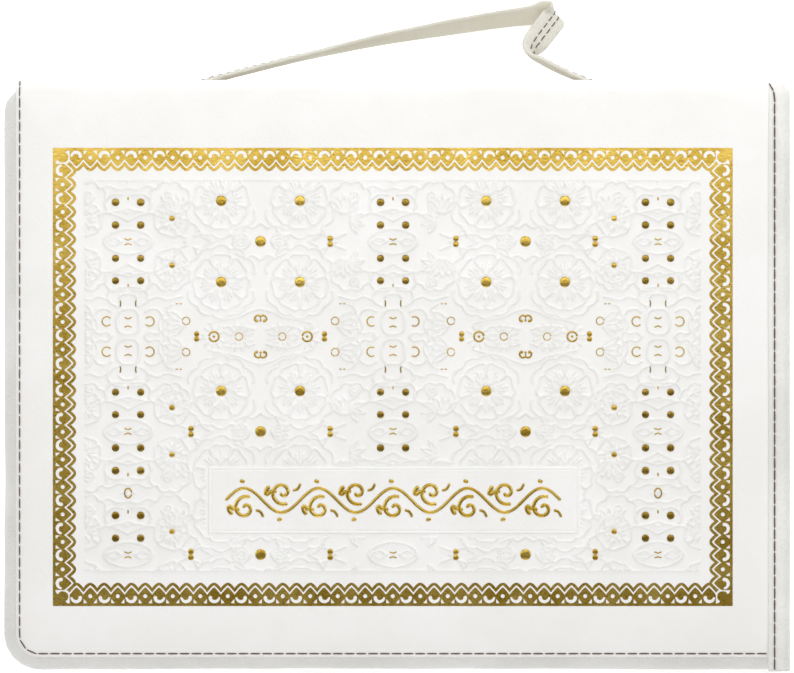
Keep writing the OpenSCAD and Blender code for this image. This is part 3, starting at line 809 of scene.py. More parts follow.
def filled(outline, holes=()):
    """Triangles that fill an outline and leave its holes open."""
    rings = [np.asarray(outline)] + [np.asarray(h) for h in holes]
    points = [Vector(p) for ring in rings for p in ring]
    edges, at = [], 0
    for ring in rings:
        edges += [(at + i, at + (i + 1) % len(ring)) for i in range(len(ring))]
        at += len(ring)
    found = delaunay_2d_cdt(points, edges, [], 1, 1e-5)
    flat = np.array([tuple(p) for p in found[0]])
    faces = np.array([f for f in found[2] if len(f) == 3])
    middle = flat[faces].mean(1)
    keep = within(middle, rings[0])
    for ring in rings[1:]:
        keep &= ~within(middle, ring)
    return flat, faces[keep]


def within(points, ring):
    """True for each point that lies inside a closed line: a level ray from it crosses the line an odd number
    of times."""
    x, y = points[:, :1], points[:, 1:]
    x0, y0 = ring[:, 0], ring[:, 1]
    x1, y1 = np.roll(x0, -1), np.roll(y0, -1)
    crosses = (y0 > y) != (y1 > y)
    rise = np.where(y1 == y0, 1, y1 - y0)
    return (crosses & (x < x0 + (y - y0) * (x1 - x0) / rise)).sum(1) % 2 == 1


def strip(lower, upper):
    """Triangles between two lines with the same number of points."""
    quads = grid_quads(len(lower), 2)
    return np.stack([lower, upper], 1).reshape(-1, 2), np.vstack([quads[:, :3], quads[:, [0, 2, 3]]])


def zigzag(t, peak, valley, power=1.25):
    """Distance from the outer edge of a line that peaks over the middle of a half cell: peak minus the drop
    times a power of the share of the way to its side. A high power rounds the top."""
    return peak - (peak - valley) * np.abs(t / (CELL / 4)) ** power


def half_cell(drop, flip):
    """One half of a border cell, from its own middle a quarter of the pitch each way: gold below the white
    zigzag, with a ring and two notches or a curled crescent left white."""
    t = np.linspace(-CELL / 4, CELL / 4, 17)
    under = np.stack([t, zigzag(t, 6.15, 3.7)], 1)
    outline = np.vstack([[(-CELL / 4, 0), (CELL / 4, 0)], under[::-1]])
    if drop:
        outer = arc((-0.1, 2.85), 1.95, 178, 338, 15)
        tail = arc((1.22, 2.75), 0.62, -10, 200, 9)
        inner = arc((-0.25, 3.15), 1.15, 312, 190, 10)
        holes = [np.vstack([outer, tail, inner]) * (flip, 1)]
    else:
        holes = [arc((0, 3.25), 0.68, 0, 342, 14)]
        notch = np.array([(2.2, 0.85), (1.0, 0.95), (1.5, 1.6), (2.2, 2.35)])
        holes += [notch * (-1, 1), notch]
    body = filled(outline, holes)
    ribbon = strip(np.stack([t, zigzag(t, 6.85, 4.5)], 1), np.stack([t, zigzag(t, 7.7, 5.95, 1.9)], 1))
    return [body, ribbon]


def corner_tile():
    """The gold corner: a block that swells into a petal pointing inward, and where the two ribbons meet."""
    c = CORNER
    side = [(0, 0), (c, 0), (c, 0.85), (4.7, 1.0), (4.1, 1.6), (4.9, 2.3), (5.15, 3.2), (4.95, 4.2)]
    block = filled(np.array(side + [(y, x) for x, y in side[:0:-1]]))
    meet = [(c, 4.6), (c, c), (4.6, c), (5.0, 5.25), (5.25, 5.0)]
    return [block, filled(np.array(meet))]


def border_parts():
    """All the border's flat parts: half cells along four sides, drawn in at the mitres, and a block in each
    corner."""
    parts = []
    centre = ((border_lo + border_hi) / 2)[:2]
    half = (border_hi - border_lo)[:2] / 2
    cells = {(drop, flip): half_cell(drop, flip) for drop in (0, 1) for flip in (-1, 1)}
    for side in range(4):
        count, run, reach = HALF_CELLS[side % 2], half[side % 2], half[(side + 1) % 2]
        for k in range(count):
            t = (k + 0.5 - count / 2) * CELL / 2
            for flat, faces in cells[1 - k % 2, 1 if k % 4 == 0 else -1]:
                along = flat[:, 0] + t
                mitred = np.column_stack([along, np.minimum(flat[:, 1], run - np.abs(along)) - reach])
                parts.append((turned(mitred, centre, 90 * side), faces))
        counts = np.array([HALF_CELLS[side % 2], HALF_CELLS[(side + 1) % 2]])
        scale = np.array([run, reach]) - counts * CELL / 4
        for flat, faces in corner_tile():
            parts.append((turned(flat * scale / CORNER - (run, reach), centre, 90 * side), faces))
    return parts


def laid(name, parts, lift, body, slot, nodes):
    """Foil from flat parts, laid on the skin and given its thickness."""
    sizes = np.cumsum([0] + [len(p) for p, _ in parts[:-1]])
    points = np.vstack([p for p, _ in parts])
    faces = np.vstack([f + s for (_, f), s in zip(parts, sizes)])
    a, b, c = points[faces[:, 0]], points[faces[:, 1]], points[faces[:, 2]]
    area = (b[:, 0] - a[:, 0]) * (c[:, 1] - a[:, 1]) - (b[:, 1] - a[:, 1]) * (c[:, 0] - a[:, 0])
    faces = np.where(area[:, None] < 0, faces[:, ::-1], faces)
    height = skin(points[:, 0], points[:, 1]) + lift
    piece = new_mesh(name, np.column_stack([points, height]), faces)
    work = bmesh.new()
    work.from_mesh(piece.data)
    bmesh.ops.remove_doubles(work, verts=work.verts, dist=0.01 * MM)
    work.to_mesh(piece.data)
    work.free()
    piece.data.polygons.foreach_set("use_smooth", np.zeros(len(piece.data.polygons), bool))
    solid = piece.modifiers.new("foil", "SOLIDIFY")
    solid.thickness = 0.12 * MM
    solid.offset = -1
    return tie(piece, body, slot, gold_foil, *nodes)


def border_foil():
    """The printed gold border of the front."""
    return laid("border_foil", border_parts(), FOIL_LIFT, "front_cover", "gilt_foil", ("gilt_border",))


def stamped(line, width, rise):
    """A narrow gold mark along a line: domed across, rounded at both ends, its rim sunk into the skin."""
    line, s = spaced(line, 0.22)
    n = len(line)
    way = unit(np.gradient(line, axis=0))
    side = np.stack([-way[:, 1], way[:, 0]], 1)
    ends = np.minimum(s, s[-1] - s) / (width / 2)
    half = width / 2 * np.sqrt(np.clip(1 - (1 - np.clip(ends, 0.03, 1)) ** 2, 0, 1))
    across = np.array([1, 0.8, 0, -0.8, -1])
    up = np.array([-0.1, 0.75, 1, 0.75, -0.1]) * rise
    xy = line[:, None] + side[:, None] * (half[:, None] * across)[..., None]
    z = skin(xy[..., 0], xy[..., 1]) + 0.02 + up * (half / half.max())[:, None]
    return np.concatenate([xy, z[..., None]], -1).reshape(n, 5, 3)


def stamped_dot(centre, radius, rise):
    """A round gold mark: a low dome whose rim sinks into the skin."""
    ring = np.linspace(0, TURN, 18, endpoint=False)
    rows = []
    for share, up in ((1.0, -0.1), (0.97, 0.5), (0.8, 0.85), (0.45, 1.0), (0.04, 1.03)):
        x = centre[0] + radius * share * np.cos(ring)
        y = centre[1] + radius * share * np.sin(ring)
        rows.append(np.stack([x, y, skin(x, y) + 0.02 + rise * up], -1))
    return np.stack(rows)


def many_tubes(name, grids):
    """One mesh from many capped tubes."""
    points, quads, caps, at = [], [], {}, 0
    for grid in grids:
        rows, cols = grid.shape[:2]
        points.append(grid.reshape(-1, 3))
        quads.append(grid_quads(rows, cols, close_cols=True) + at)
        ring = np.arange(cols)
        caps.setdefault(cols, []).append(np.stack([ring, (rows - 1) * cols + ring[::-1]]) + at)
        at += rows * cols
    ends = [np.vstack(c) for c in caps.values()]
    return new_mesh(name, np.vstack(points), np.vstack(quads), *ends, outward=True)


def field_marks():
    """The gold marks of the repeat, lines with a width and dots, placed from the middle axis and main row."""
    c, e = MEDAL_X, BAND_X
    lines, dots = [], []
    for side in (-1, 1):
        dots += [((c + side * 13, 18.0), 1.75), ((c + side * 13, 44.8), 1.75)]
        dots += [((c + side * 23, 31.4 + d), 0.95) for d in (-0.95, 0.95)]
        dots += [((c + side * 21.1, 0.85), 0.88)]
        dots += [((c + side * 15.4, 0.0), 0.42)]
        lines += [(arc((c + side * 15.4, 0), 1.6, 0, 352, 30), 0.62)]
        lines += [(arc((c + side * 7.15, 0), 1.22, 0, 350, 24), 0.32)]
        lines += [(arc((c + side * 24.6, 5.15), 1.25, 0, 350, 24), 0.32)]
        lines += [([(c + side * 27 + d, 10.8), (c + side * 27 + d + 0.9, 10.8)], 0.38) for d in (-1.1, 0.2)]
        start, end = (35, 325) if side > 0 else (-125, 125)
        lines += [(arc((c + side * 36.7, 5.0), 1.55, start, end, 20), 0.42)]
    arch = smooth_line([(1.35, 5.0), (1.95, 5.5), (1.75, 6.5), (0.85, 7.0), (0, 6.7), (-0.85, 7.0),
                        (-1.75, 6.5), (-1.95, 5.5), (-1.35, 5.0)], 5)
    lines += [(arch + (c, 0), 0.62), ([(c, 6.6), (c, 5.3)], 0.42)]
    dots += [((c + d, 5.15), 0.5) for d in (-1.3, 1.3)] + [((c, 5.25), 0.36)]
    dots += [((c, 31.4), 1.8)]
    dots += [((e - 14.5, v), 0.92) for v in (23.5, 39.0)]
    for axis in (0, e):
        for side in (-1, 1):
            for v, radius in ((44.3, 1.3), (36.8, 1.25), (25.8, 1.2), (18.4, 1.2)):
                dots += [((axis + side * 4.15, v), radius)]
            bow = [(axis + side * p, v) for p, v in ((2.65, 9.8), (2.45, 10.9), (2.65, 12.0))]
            lines += [(bow, 0.42)]
        for v, bend in ((32.1, -0.25), (30.5, 0.2), (6.1, -0.25), (3.3, 0.25)):
            lines += [([(axis - 1.25, v - bend), (axis, v + bend), (axis + 1.25, v - bend)], 0.42)]
        lines += [([(axis, 44.9), (axis, 46.2)], 0.5), ([(axis, 16.3), (axis, 17.5)], 0.45)]
    loop = np.linspace(0, TURN * 0.98, 30)
    lines += [(np.stack([e + 1.15 * np.cos(loop), ROW_END + 1.6 * np.sin(loop)], 1), 0.5)]
    return lines, dots


# The stamp left one pair of dots out
BARE = (CENTRE_X - MEDAL_X - 23, ROW_Y + 31.4)


def mirrored(points, window):
    """Every mirror image of some points inside a window, apart from the title plate and the bare place."""
    p = np.asarray(points, float)
    found = {}
    us, vs = (p[:, 0], 2 * BAND_X - p[:, 0]), (p[:, 1], 2 * ROW_END - p[:, 1])
    for u, v, sx, sy in itertools.product(us, vs, (-1, 1), (-1, 1)):
        q = np.stack([CENTRE_X + sx * u, ROW_Y + sy * v], 1)
        mid = q.mean(0)
        on_plate = PLATE[0] - 2 < mid[0] < PLATE[1] + 2 and PLATE[2] - 2 < mid[1] < PLATE[3] + 2
        bare = math.hypot(mid[0] - BARE[0], mid[1] - BARE[1]) < 2
        in_window = window[0] < mid[0] < window[1] and window[2] < mid[1] < window[3]
        if in_window and not (on_plate or bare):
            found[tuple(np.round(mid, 1))] = q
    return list(found.values())


def field_foil():
    """Gold dots, rings and small strokes of the field."""
    window = (FIELD[0] + 2, FIELD[1] - 1, FIELD[2] + 1, FIELD[3] - 1)
    lines, dots = field_marks()
    grids = []
    for line, width in lines:
        for copy in mirrored(line, window):
            grids.append(stamped(copy, width, 0.2))
    for centre, radius in dots:
        for copy in mirrored([centre], window):
            grids.append(stamped_dot(copy[0], radius, 0.3))
    return tie(many_tubes("field_foil_marks", grids), "front_cover", "gilt_foil", gold_foil, "gilt_dots")


PLATE_RISE = 0.42


def title_tablet():
    """The smooth raised tablet, with a sloping edge and a fine line pressed just inside it."""
    x, y = [stepped((low - 0.4, low + 2, 0.12), (low + 2, high - 2, 1.5), (high - 2, high + 0.4, 0.12))
            for low, high in (PLATE[:2], PLATE[2:])]
    gy, gx = np.meshgrid(y, x, indexing="ij")
    d = np.minimum(np.minimum(gx - x[0], x[-1] - gx), np.minimum(gy - y[0], y[-1] - gy))
    share = np.clip(d / 0.7, 0, 1)
    rise = PLATE_RISE * share * share * (3 - 2 * share) - 0.16 * np.exp(-(((d - 1.35) / 0.16) ** 2))
    top = np.stack([gx, gy, skin(gx, gy) - 0.1 * (1 - share) + rise], -1)
    under = top[np.ix_(every(len(y), 6), every(len(x), 6))].copy()
    under[1:-1, 1:-1, 2] -= 0.8
    return tie(closed_skin("title_tablet", top, under), "front_cover", "white_leather", panel_leather,
               "title_plate")


def vine_strokes():
    """A generic scrolling vine: a cosine stem with a curl, two leaves and a bud in each of its bays."""
    bays, wide = 9, 12.3
    lines = []
    x = np.linspace(-bays * wide / 2, bays * wide / 2, 240)
    stem = np.stack([x, 4.0 * np.cos(math.pi * x / wide)], 1)
    lines.append((stem, 1.0))
    for k in range(bays):
        mid = (k - (bays - 1) / 2) * wide
        up = -1 if math.cos(math.pi * mid / wide) > 0 else 1
        curl = spiral((0, 0), 4.1, 1.4, 150)[::-1] * (1, up)
        lines.append((turned(curl, (mid + 0.4, 2.6 * up)), 1.15))
        for lean, far in ((20, 4.0), (65, 3.4)):
            leaf = smooth_line([(0, 0), (0.5 * far, 0.5), (far, 0.1)], 6) * (1, up)
            lines.append((turned(leaf, (mid - 5.2, 1.6 * up), lean * up), 1.35))
        bud = smooth_line([(0, 0), (1.6, 0.6 * up), (2.6, 2.4 * up)], 6)
        lines.append((turned(bud, (mid + 3.8, 3.2 * up)), 0.9))
        lines.append(([(mid - 1.4, -6.6 * up), (mid + 0.2, -6.0 * up)], 1.2))
    return lines


def tablet_vine():
    """Gold scrollwork on the tablet, in place of its writing."""
    centre = ((PLATE[0] + PLATE[1]) / 2, (PLATE[2] + PLATE[3]) / 2)
    grids = []
    for line, width in vine_strokes():
        placed = np.asarray(line, float) + centre
        grid = stamped(placed, width, 0.22)
        grid[..., 2] += PLATE_RISE
        grids.append(grid)
    return tie(many_tubes("tablet_vine", grids), "front_cover", "gilt_foil", gold_foil, "plate_ornament")


# ---- Stitches ----

def stitch_unit():
    """One stitch along +X, one long: a bead that dives at both ends, six points round."""
    rows = []
    for x, r, z in ((-0.5, 0.5, -0.8), (-0.42, 0.9, -0.1), (-0.2, 1.0, 0.35), (0.2, 1.0, 0.35),
                    (0.42, 0.9, -0.1), (0.5, 0.5, -0.8)):
        a = np.linspace(0, TURN, 6, endpoint=False)
        rows.append(np.stack([np.full(6, x), r * np.cos(a), z + r * np.sin(a)], -1))
    return np.stack(rows)


def stitched(name, line, up, pitch, length, radius, material):
    """Stitches at an even pitch along a line, each lying flat against the side that up points to."""
    dense, s = spaced(line, 0.5)
    count = max(2, round(s[-1] / pitch))
    at = (np.arange(count) + 0.5) * s[-1] / count
    mid = np.stack([np.interp(at, s, dense[:, k]) for k in range(3)], 1)
    ahead = np.stack([np.interp(np.minimum(at + 0.8, s[-1]), s, dense[:, k]) for k in range(3)], 1)
    back = np.stack([np.interp(np.maximum(at - 0.8, 0), s, dense[:, k]) for k in range(3)], 1)
    way = unit(ahead - back)
    normal = up if np.ndim(up) == 2 else np.broadcast_to(np.asarray(up, float), mid.shape)
    if np.ndim(up) == 2:
        old = np.linspace(0, s[-1], len(up))
        normal = np.stack([np.interp(at, old, up[:, k]) for k in range(3)], 1)
    side = unit(np.cross(normal, way))
    rise = np.cross(way, side)
    u = stitch_unit()
    grids = (mid[:, None, None] + way[:, None, None] * (u[..., :1] * length)
             + side[:, None, None] * (u[..., 1:2] * radius) + rise[:, None, None] * (u[..., 2:] * radius))
    piece = many_tubes(name, list(grids))
    piece.data.materials.append(material)
    return piece


def seam_path(inset, x_end, y_end):
    """The seam's run as it lies in plan: down the left side, round the corner and along the bottom."""
    x0, y0, r = SEAM_X0 + inset, SEAM_Y0 + inset, CORNER_R - inset
    return np.vstack([[(x0, y_end)], arc((x0 + r, y0 + r), r, 180, 270, 20), [(x_end, y0)]])


def front_stitches():
    """Brown stitches of the front: the panel's seam, over its top roll too, and the spine lap's own row."""
    turn = np.radians(np.arange(82, 0, -8.0))
    across, reach = SEAM_X0 + 0.35, ROLL_R - SEAM_SINK + 0.1
    roll = np.column_stack([np.full(len(turn), across), TOP_Y - ROLL_R + reach * np.sin(turn),
                            CASE_T - ROLL_R + reach * np.cos(turn)])
    flat, _ = spaced(seam_path(0.35, lap_lo[0] - 0.3, TOP_Y - ROLL_R - 0.2), 1.0)
    seam = np.vstack([roll, np.column_stack([flat, skin(flat[:, 0], flat[:, 1]) - 0.02])])
    up_roll = np.column_stack([0 * turn, np.sin(turn), np.cos(turn)])
    up = np.vstack([up_roll, np.tile([0.0, 0, 1], (len(flat), 1))])
    s = np.concatenate([[0], np.cumsum(np.linalg.norm(np.diff(seam, axis=0), axis=1))])
    even = np.linspace(0, s[-1], 500)
    up = np.stack([np.interp(even, s, up[:, k]) for k in range(3)], 1)
    one = stitched("front_seam_stitches", seam, up, STITCH_PITCH, 3.6, 0.26, brown_thread)
    y = np.linspace(lap_lo[1] + 0.4, SPINE_TOP - 0.8, 110)
    x = lap_lo[0] + 1.9 - 2.2 * np.clip((y - 91) / 6, 0, 1) ** 2
    line = np.column_stack([x, y, lap_top(y) - end_drop(y)])
    two = stitched("lap_stitches", line, (0, 0, 1), STITCH_PITCH, 3.6, 0.26, brown_thread)
    both = join("front_stitching", [one, two])
    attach(both, "front_cover")
    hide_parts("front_seam_thread")
    return both


def back_stitches():
    """Brown stitches of the back panel's seam."""
    low, high = span("back_seam_thread")
    r = CORNER_R
    x0, y0, y1, x1 = low[0] + 0.3, low[1] + 0.3, high[1] - 0.3, high[0] - 1
    flat = np.vstack([[(x1, y1)], arc((x0 + r, y1 - r), r, 90, 180, 16),
                      arc((x0 + r, y0 + r), r, 180, 270, 16), [(x1, y0)]])
    line, _ = spaced(np.column_stack([flat, np.full(len(flat), 0.02)]), 1.0)
    piece = stitched("back_stitching", line, (0, 0, -1), STITCH_PITCH, 3.7, 0.2, brown_thread)
    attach(piece, "back_case")
    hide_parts("back_seam_thread")
    return piece


# ---- Walls ----

# Heights of a wall's two edges: where it leaves the panel, and where the zip is sewn on
WALL_FOOT = 1.4
WALL_RIM = span("back_wall")[1][2]


def wall_path(step):
    """The seam's plan on three sides, from the spine along the top, down the left and back along the bottom,
    with its outward normals and the length along it."""
    r, tight = CORNER_R, 3.5
    x0, y0, y1 = SEAM_X0, SEAM_Y0, SEAM_Y1
    line = np.vstack([[(WALL_X1, y1)], arc((x0 + tight, y1 - tight), tight, 90, 180, 24),
                      arc((x0 + r, y0 + r), r, 180, 270, 24), [(WALL_X1, y0)]])
    line, s = spaced(line, step)
    way = unit(np.gradient(line, axis=0))
    out = np.stack([way[:, 1], -way[:, 0]], 1)
    return line, out * np.sign((out * line).sum(1, keepdims=True)), s


def wall_reach(u):
    """How far the wall stands off the seam's plan, from the panel (0) to the zip (1): a lean and a bulge."""
    return 0.6 + 1.8 * u + 3.4 * np.sin(math.pi * u)


def wall(name, front, body, node):
    """One soft side strip: its profile bulges by a sine between the panel and the zip, gathers a little where
    it turns the corners, and its inner side follows at the leathercloth's thickness."""
    line, out, s = wall_path(0.9)
    line[0, 0] = line[-1, 0] = spine_hi[0] - 1.1
    u = np.concatenate([np.linspace(0, 1, 22), np.linspace(1, 0, 12)])
    inner = np.concatenate([np.zeros(22), np.ones(12)])
    reach = wall_reach(u) - 1.6 * inner * np.where((u > 0.02) & (u < 0.98), 1, 0.9)
    z = WALL_FOOT + (WALL_RIM - WALL_FOOT) * u
    corner = np.exp(-(np.minimum(np.abs(s - 252), np.abs(s - 430)) / 14.0) ** 2)
    along = s[:, None]
    soft = 0.35 * ripple(along / 19, u * 2.0, 11 + front) + 0.14 * ripple(along / 5.5, u * 3.0, 21 + front)
    fold = 0.09 * corner[:, None] * np.sin(along * 2.6) * np.sin(math.pi * u)
    ends = np.clip(np.minimum(s, s[-1] - s) / 6, 0, 1)[:, None]
    d = reach + (soft * np.sin(math.pi * u) ** 0.7 + fold) * ends
    xy = line[:, None] + out[:, None] * d[..., None]
    zz = np.broadcast_to(CASE_T - z if front else z, d.shape)
    grid = np.concatenate([xy, zz[..., None]], -1)
    return tie(tube(name, grid), body, "grain_leather", grain_leather, node)


def hem_stitches(front):
    """A fine row of thread that holds the zip tape to the wall's edge."""
    line, out, _ = wall_path(1.0)
    z = WALL_RIM - 1.6
    u = (z - WALL_FOOT) / (WALL_RIM - WALL_FOOT)
    xy = line + out * (wall_reach(u) - 0.02)
    keep = slice(6, -6)
    z = CASE_T - z if front else z
    run = np.column_stack([xy, np.full(len(xy), z)])[keep]
    normal = np.column_stack([out, np.zeros(len(out))])[keep]
    name = "front_hem_stitches" if front else "back_hem_stitches"
    piece = stitched(name, run, normal, 3.6, 2.6, 0.16, linen_thread)
    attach(piece, "front_cover" if front else "back_case")
    return piece


# ---- Spine ----

def lap_top(y):
    """Height of the spine lap's face along the front's right edge: soft between its ends."""
    return lap_hi[2] + 0.28 + 0.1 * ripple(y / 26, 0 * y, 31) + 0.45 * np.clip((lap_hi[1] - y) / 14, 0, 1)


def spine_line(front):
    """The outer line of the spine leather in section, from its lap round the edge to the spine's middle."""
    x1 = spine_hi[0]
    r = 3.0
    if front:
        top = CASE_T + 0.78
        lap = [(lap_lo[0], top - 0.35), (lap_lo[0] + 0.35, top), (lap_lo[0] + 2, top + 0.02), (x1 - r, top)]
        turn = arc((x1 - r, top - r), r, 84, 0, 14)
        return np.vstack([lap, turn, [(x1, y) for y in np.linspace(top - r - 1.5, ZIP_Z, 12)]])
    low = -0.55
    lap = [(lap_lo[0] + 0.6, low + 0.35), (lap_lo[0] + 0.95, low), (lap_lo[0] + 2, low - 0.02),
           (x1 - r, low)]
    turn = arc((x1 - r, low + r), r, -84, 0, 14)
    return np.vstack([lap, turn, [(x1, y) for y in np.linspace(low + r + 1.5, ZIP_Z, 12)]])


SPINE_TOP = 97.3


def end_drop(y):
    """How far the spine's face turns down at its top end: a round of five and a half millimetres."""
    over = np.clip(y - (SPINE_TOP - 5.5), 0, 5.5)
    return 5.5 - np.sqrt(5.5**2 - over**2)


def spine_half(name, front):
    """Half of the spine's leather, one thickness thick, soft along its length, with a shallow groove at the
    hinge; its top end is rounded both in plan and in section."""
    line, s = spaced(spine_line(front), 0.45)
    way = unit(np.gradient(line, axis=0))
    out = np.stack([-way[:, 1], way[:, 0]], 1) if front else np.stack([way[:, 1], -way[:, 0]], 1)
    y = stepped((spine_lo[1], spine_lo[1] + 1.2, 0.3), (spine_lo[1] + 1.2, SPINE_TOP - 7, 1.5),
                (SPINE_TOP - 7, SPINE_TOP, 0.35))
    thick = 0.85
    edge = np.clip(np.minimum(y - y[0], y[-1] - y) / 0.9, 0, 1)[:, None]
    soft = 0.1 * ripple(y[:, None] / 17, s[None] / 6, 41 + front)
    soft = soft + 0.04 * ripple(y[:, None] / 4, s[None] / 3, 43)
    hinge_s = s[np.argmin(np.abs(line[:, 0] - HINGE_X))]
    groove = -0.28 * np.exp(-(((s - hinge_s - 2.6) / 1.1) ** 2))
    rise = (soft + groove[None]) * edge - 0.4 * (1 - np.sqrt(1 - (1 - edge) ** 2))
    swell = 0.4 * np.exp(-(((s - s[3]) / 4.0) ** 2))[None] * np.clip((lap_hi[1] - y) / 14, 0, 1)[:, None]
    lap = swell if front else 0 * swell
    outer = line[None] + out[None] * (rise + lap)[..., None]
    inner = (line - out * thick)[None] + out[None] * (0.5 * (rise + lap))[..., None]
    ring = np.concatenate([outer, inner[:, ::-1]], 1)
    far = np.abs(ring[..., 1] - ZIP_Z) / ZIP_Z
    ring[..., 1] -= np.sign(ring[..., 1] - ZIP_Z) * end_drop(y)[:, None] * np.clip(2 * far - 1, 0, 1)
    late = np.clip((y - 84) / (SPINE_TOP - 84), 0, 1)[:, None] ** 2
    pull_in = 5.0 - np.sqrt(25.0 - np.clip(ring[..., 0] - spine_hi[0] + 5.0, 0, 4.6) ** 2)
    yy = y[:, None] - late * pull_in
    grid = np.stack([ring[..., 0], yy, ring[..., 1]], -1)
    piece = tube(name, grid)
    piece.data.materials.append(grain_leather)
    return piece


def spine():
    """The spine's leather in two pieces, each curved round the edge at its own hinge line."""
    front = spine_half("spine_leather_front", True)
    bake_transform(front)
    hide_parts("front_spine_lap", "spine_leather")
    back = spine_half("spine_leather_back", False)
    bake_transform(back)
    return front, back


# ---- Zip ----

def plan_run(gap, stop, step):
    """The seam's plan moved outward by a gap, as far towards the spine as the zip's stops."""
    line, out, _ = wall_path(step)
    keep = line[:, 0] <= stop
    return (line + out * gap)[keep], out[keep]


def tape(name, node, front, body):
    """The zip tape: a woven strip with a raised cord along the edge that carries the coil."""
    low, high = span(node)
    line, out = plan_run(0.4, high[0], 1.2)
    section = np.array([(-0.25, low[2]), (-0.25, high[2] - 1.0), (-0.5, high[2] - 0.5), (-0.25, high[2]),
                        (0.25, high[2]), (0.5, high[2] - 0.5), (0.25, high[2] - 1.0), (0.25, low[2])])
    if front:
        section = section * (1, -1) + (0, low[2] + high[2])
    xy = line[:, None] + out[:, None] * section[None, :, :1]
    z = np.broadcast_to(section[:, 1], xy.shape[:2])
    return tie(tube(name, np.concatenate([xy, z[..., None]], -1)), body, "zip_tape", zip_tape, node)


def coil_teeth(name, node, front, body):
    """Coil turns, each a small bowed bead that stands out over the tape's edge and leans to the middle."""
    low, high = span(node)
    line, out = plan_run(0.4, high[0], 0.4)
    s = np.concatenate([[0], np.cumsum(np.linalg.norm(np.diff(line, axis=0), axis=1))])
    at = np.arange(0.6 + (0.65 if front else 0), s[-1] - 0.5, 1.3)
    mid = np.stack([np.interp(at, s, line[:, k]) for k in (0, 1)], 1)
    side = unit(np.stack([np.interp(at, s, out[:, k]) for k in (0, 1)], 1))
    way = np.stack([-side[:, 1], side[:, 0]], 1)
    centre = (low[2] + high[2]) / 2
    t = np.linspace(0, math.pi, 7)
    reach = -0.2 + 0.95 * np.sin(t)
    climb = (-0.95 * np.cos(t) + 0.05) * (-1 if front else 1)
    lean = 0.3 * np.cos(t)
    ring = np.linspace(0, TURN, 6, endpoint=False)
    thick = 0.3 * np.sin(np.linspace(0.35, math.pi - 0.35, 7)) + 0.1
    d = reach[:, None] + thick[:, None] * np.cos(ring)
    a = lean[:, None] + thick[:, None] * np.sin(ring)
    z = centre + climb[:, None] + 0 * ring
    xy = (mid[:, None, None] + side[:, None, None] * d[None, ..., None]
          + way[:, None, None] * a[None, ..., None])
    grids = np.concatenate([xy, np.broadcast_to(z, xy.shape[:3])[..., None]], -1)
    core_line = np.column_stack([line + out * 0.1, np.full(len(line), centre)])[::3]
    core = pipe(core_line, 0.42, 8)
    return tie(many_tubes(name, list(grids) + [core]), body, "zip_coil", zip_nylon, node)


def pipe(line, radius, sides):
    """A round tube's rings along a line that stays nearly level."""
    line = np.asarray(line, float)
    way = unit(np.gradient(line, axis=0))
    side = unit(np.cross(way, np.where(np.abs(way[:, 2:]) > 0.9, (1.0, 0, 0), (0, 0, 1.0))))
    rise = np.cross(side, way)
    a = np.linspace(0, TURN, sides, endpoint=False)
    r = np.broadcast_to(radius, (len(line),))[:, None]
    across, up = (r * np.cos(a))[..., None], (r * np.sin(a))[..., None]
    return line[:, None] + side[:, None] * across + rise[:, None] * up


def cushion(outline, low, high, round_edge):
    """Rings of a flat casting in its own plane: an outline that draws in over its rounded edges."""
    outline = np.asarray(outline, float)
    way = unit(np.roll(outline, -1, 0) - np.roll(outline, 1, 0))
    out = np.stack([way[:, 1], -way[:, 0]], 1)
    after = np.roll(outline, -1, 0)
    area = (outline[:, 0] * after[:, 1] - after[:, 0] * outline[:, 1]).sum()
    out = out if area > 0 else -out
    turn = np.linspace(0, math.pi / 2, 5)
    inset = round_edge * (1 - np.sin(turn))
    rise = round_edge * (1 - np.cos(turn))
    levels = [(low + r, i) for r, i in zip(rise, inset)]
    levels += [(high - r, i) for r, i in zip(rise[::-1], inset[::-1])]
    return np.stack([np.column_stack([outline - out * i, np.full(len(outline), z)]) for z, i in levels])


def on_side(grid):
    """A casting drawn flat, stood against the bottom side: its y becomes z, and its thickness points out."""
    y = SEAM_Y0 - grid[..., 2]
    return np.stack([grid[..., 0], y, grid[..., 1]], -1)


def slider_outline(x0, x1, wide, narrow):
    """Shield shape: wide where the two coils enter, drawn in behind them, with round ends."""
    mid = (x0 + x1) / 2
    points = [(x0, 0), (x0 + 0.5, narrow * 0.75), (x0 + 2.5, narrow), (mid, (wide + narrow) / 2 - 0.15),
              (x1 - 2.2, wide), (x1 - 0.5, wide * 0.78), (x1, 0)]
    full = points + [(x, -y) for x, y in points[-2:0:-1]]
    return smooth_line(full + full[:1], 5)[:-1]


# The slider's round bar, and the pull's bored eye that turns on it
BAR_R = 0.5
EYE_BORE = 0.62
EYE_R = 1.0
EYE_H = 3.1


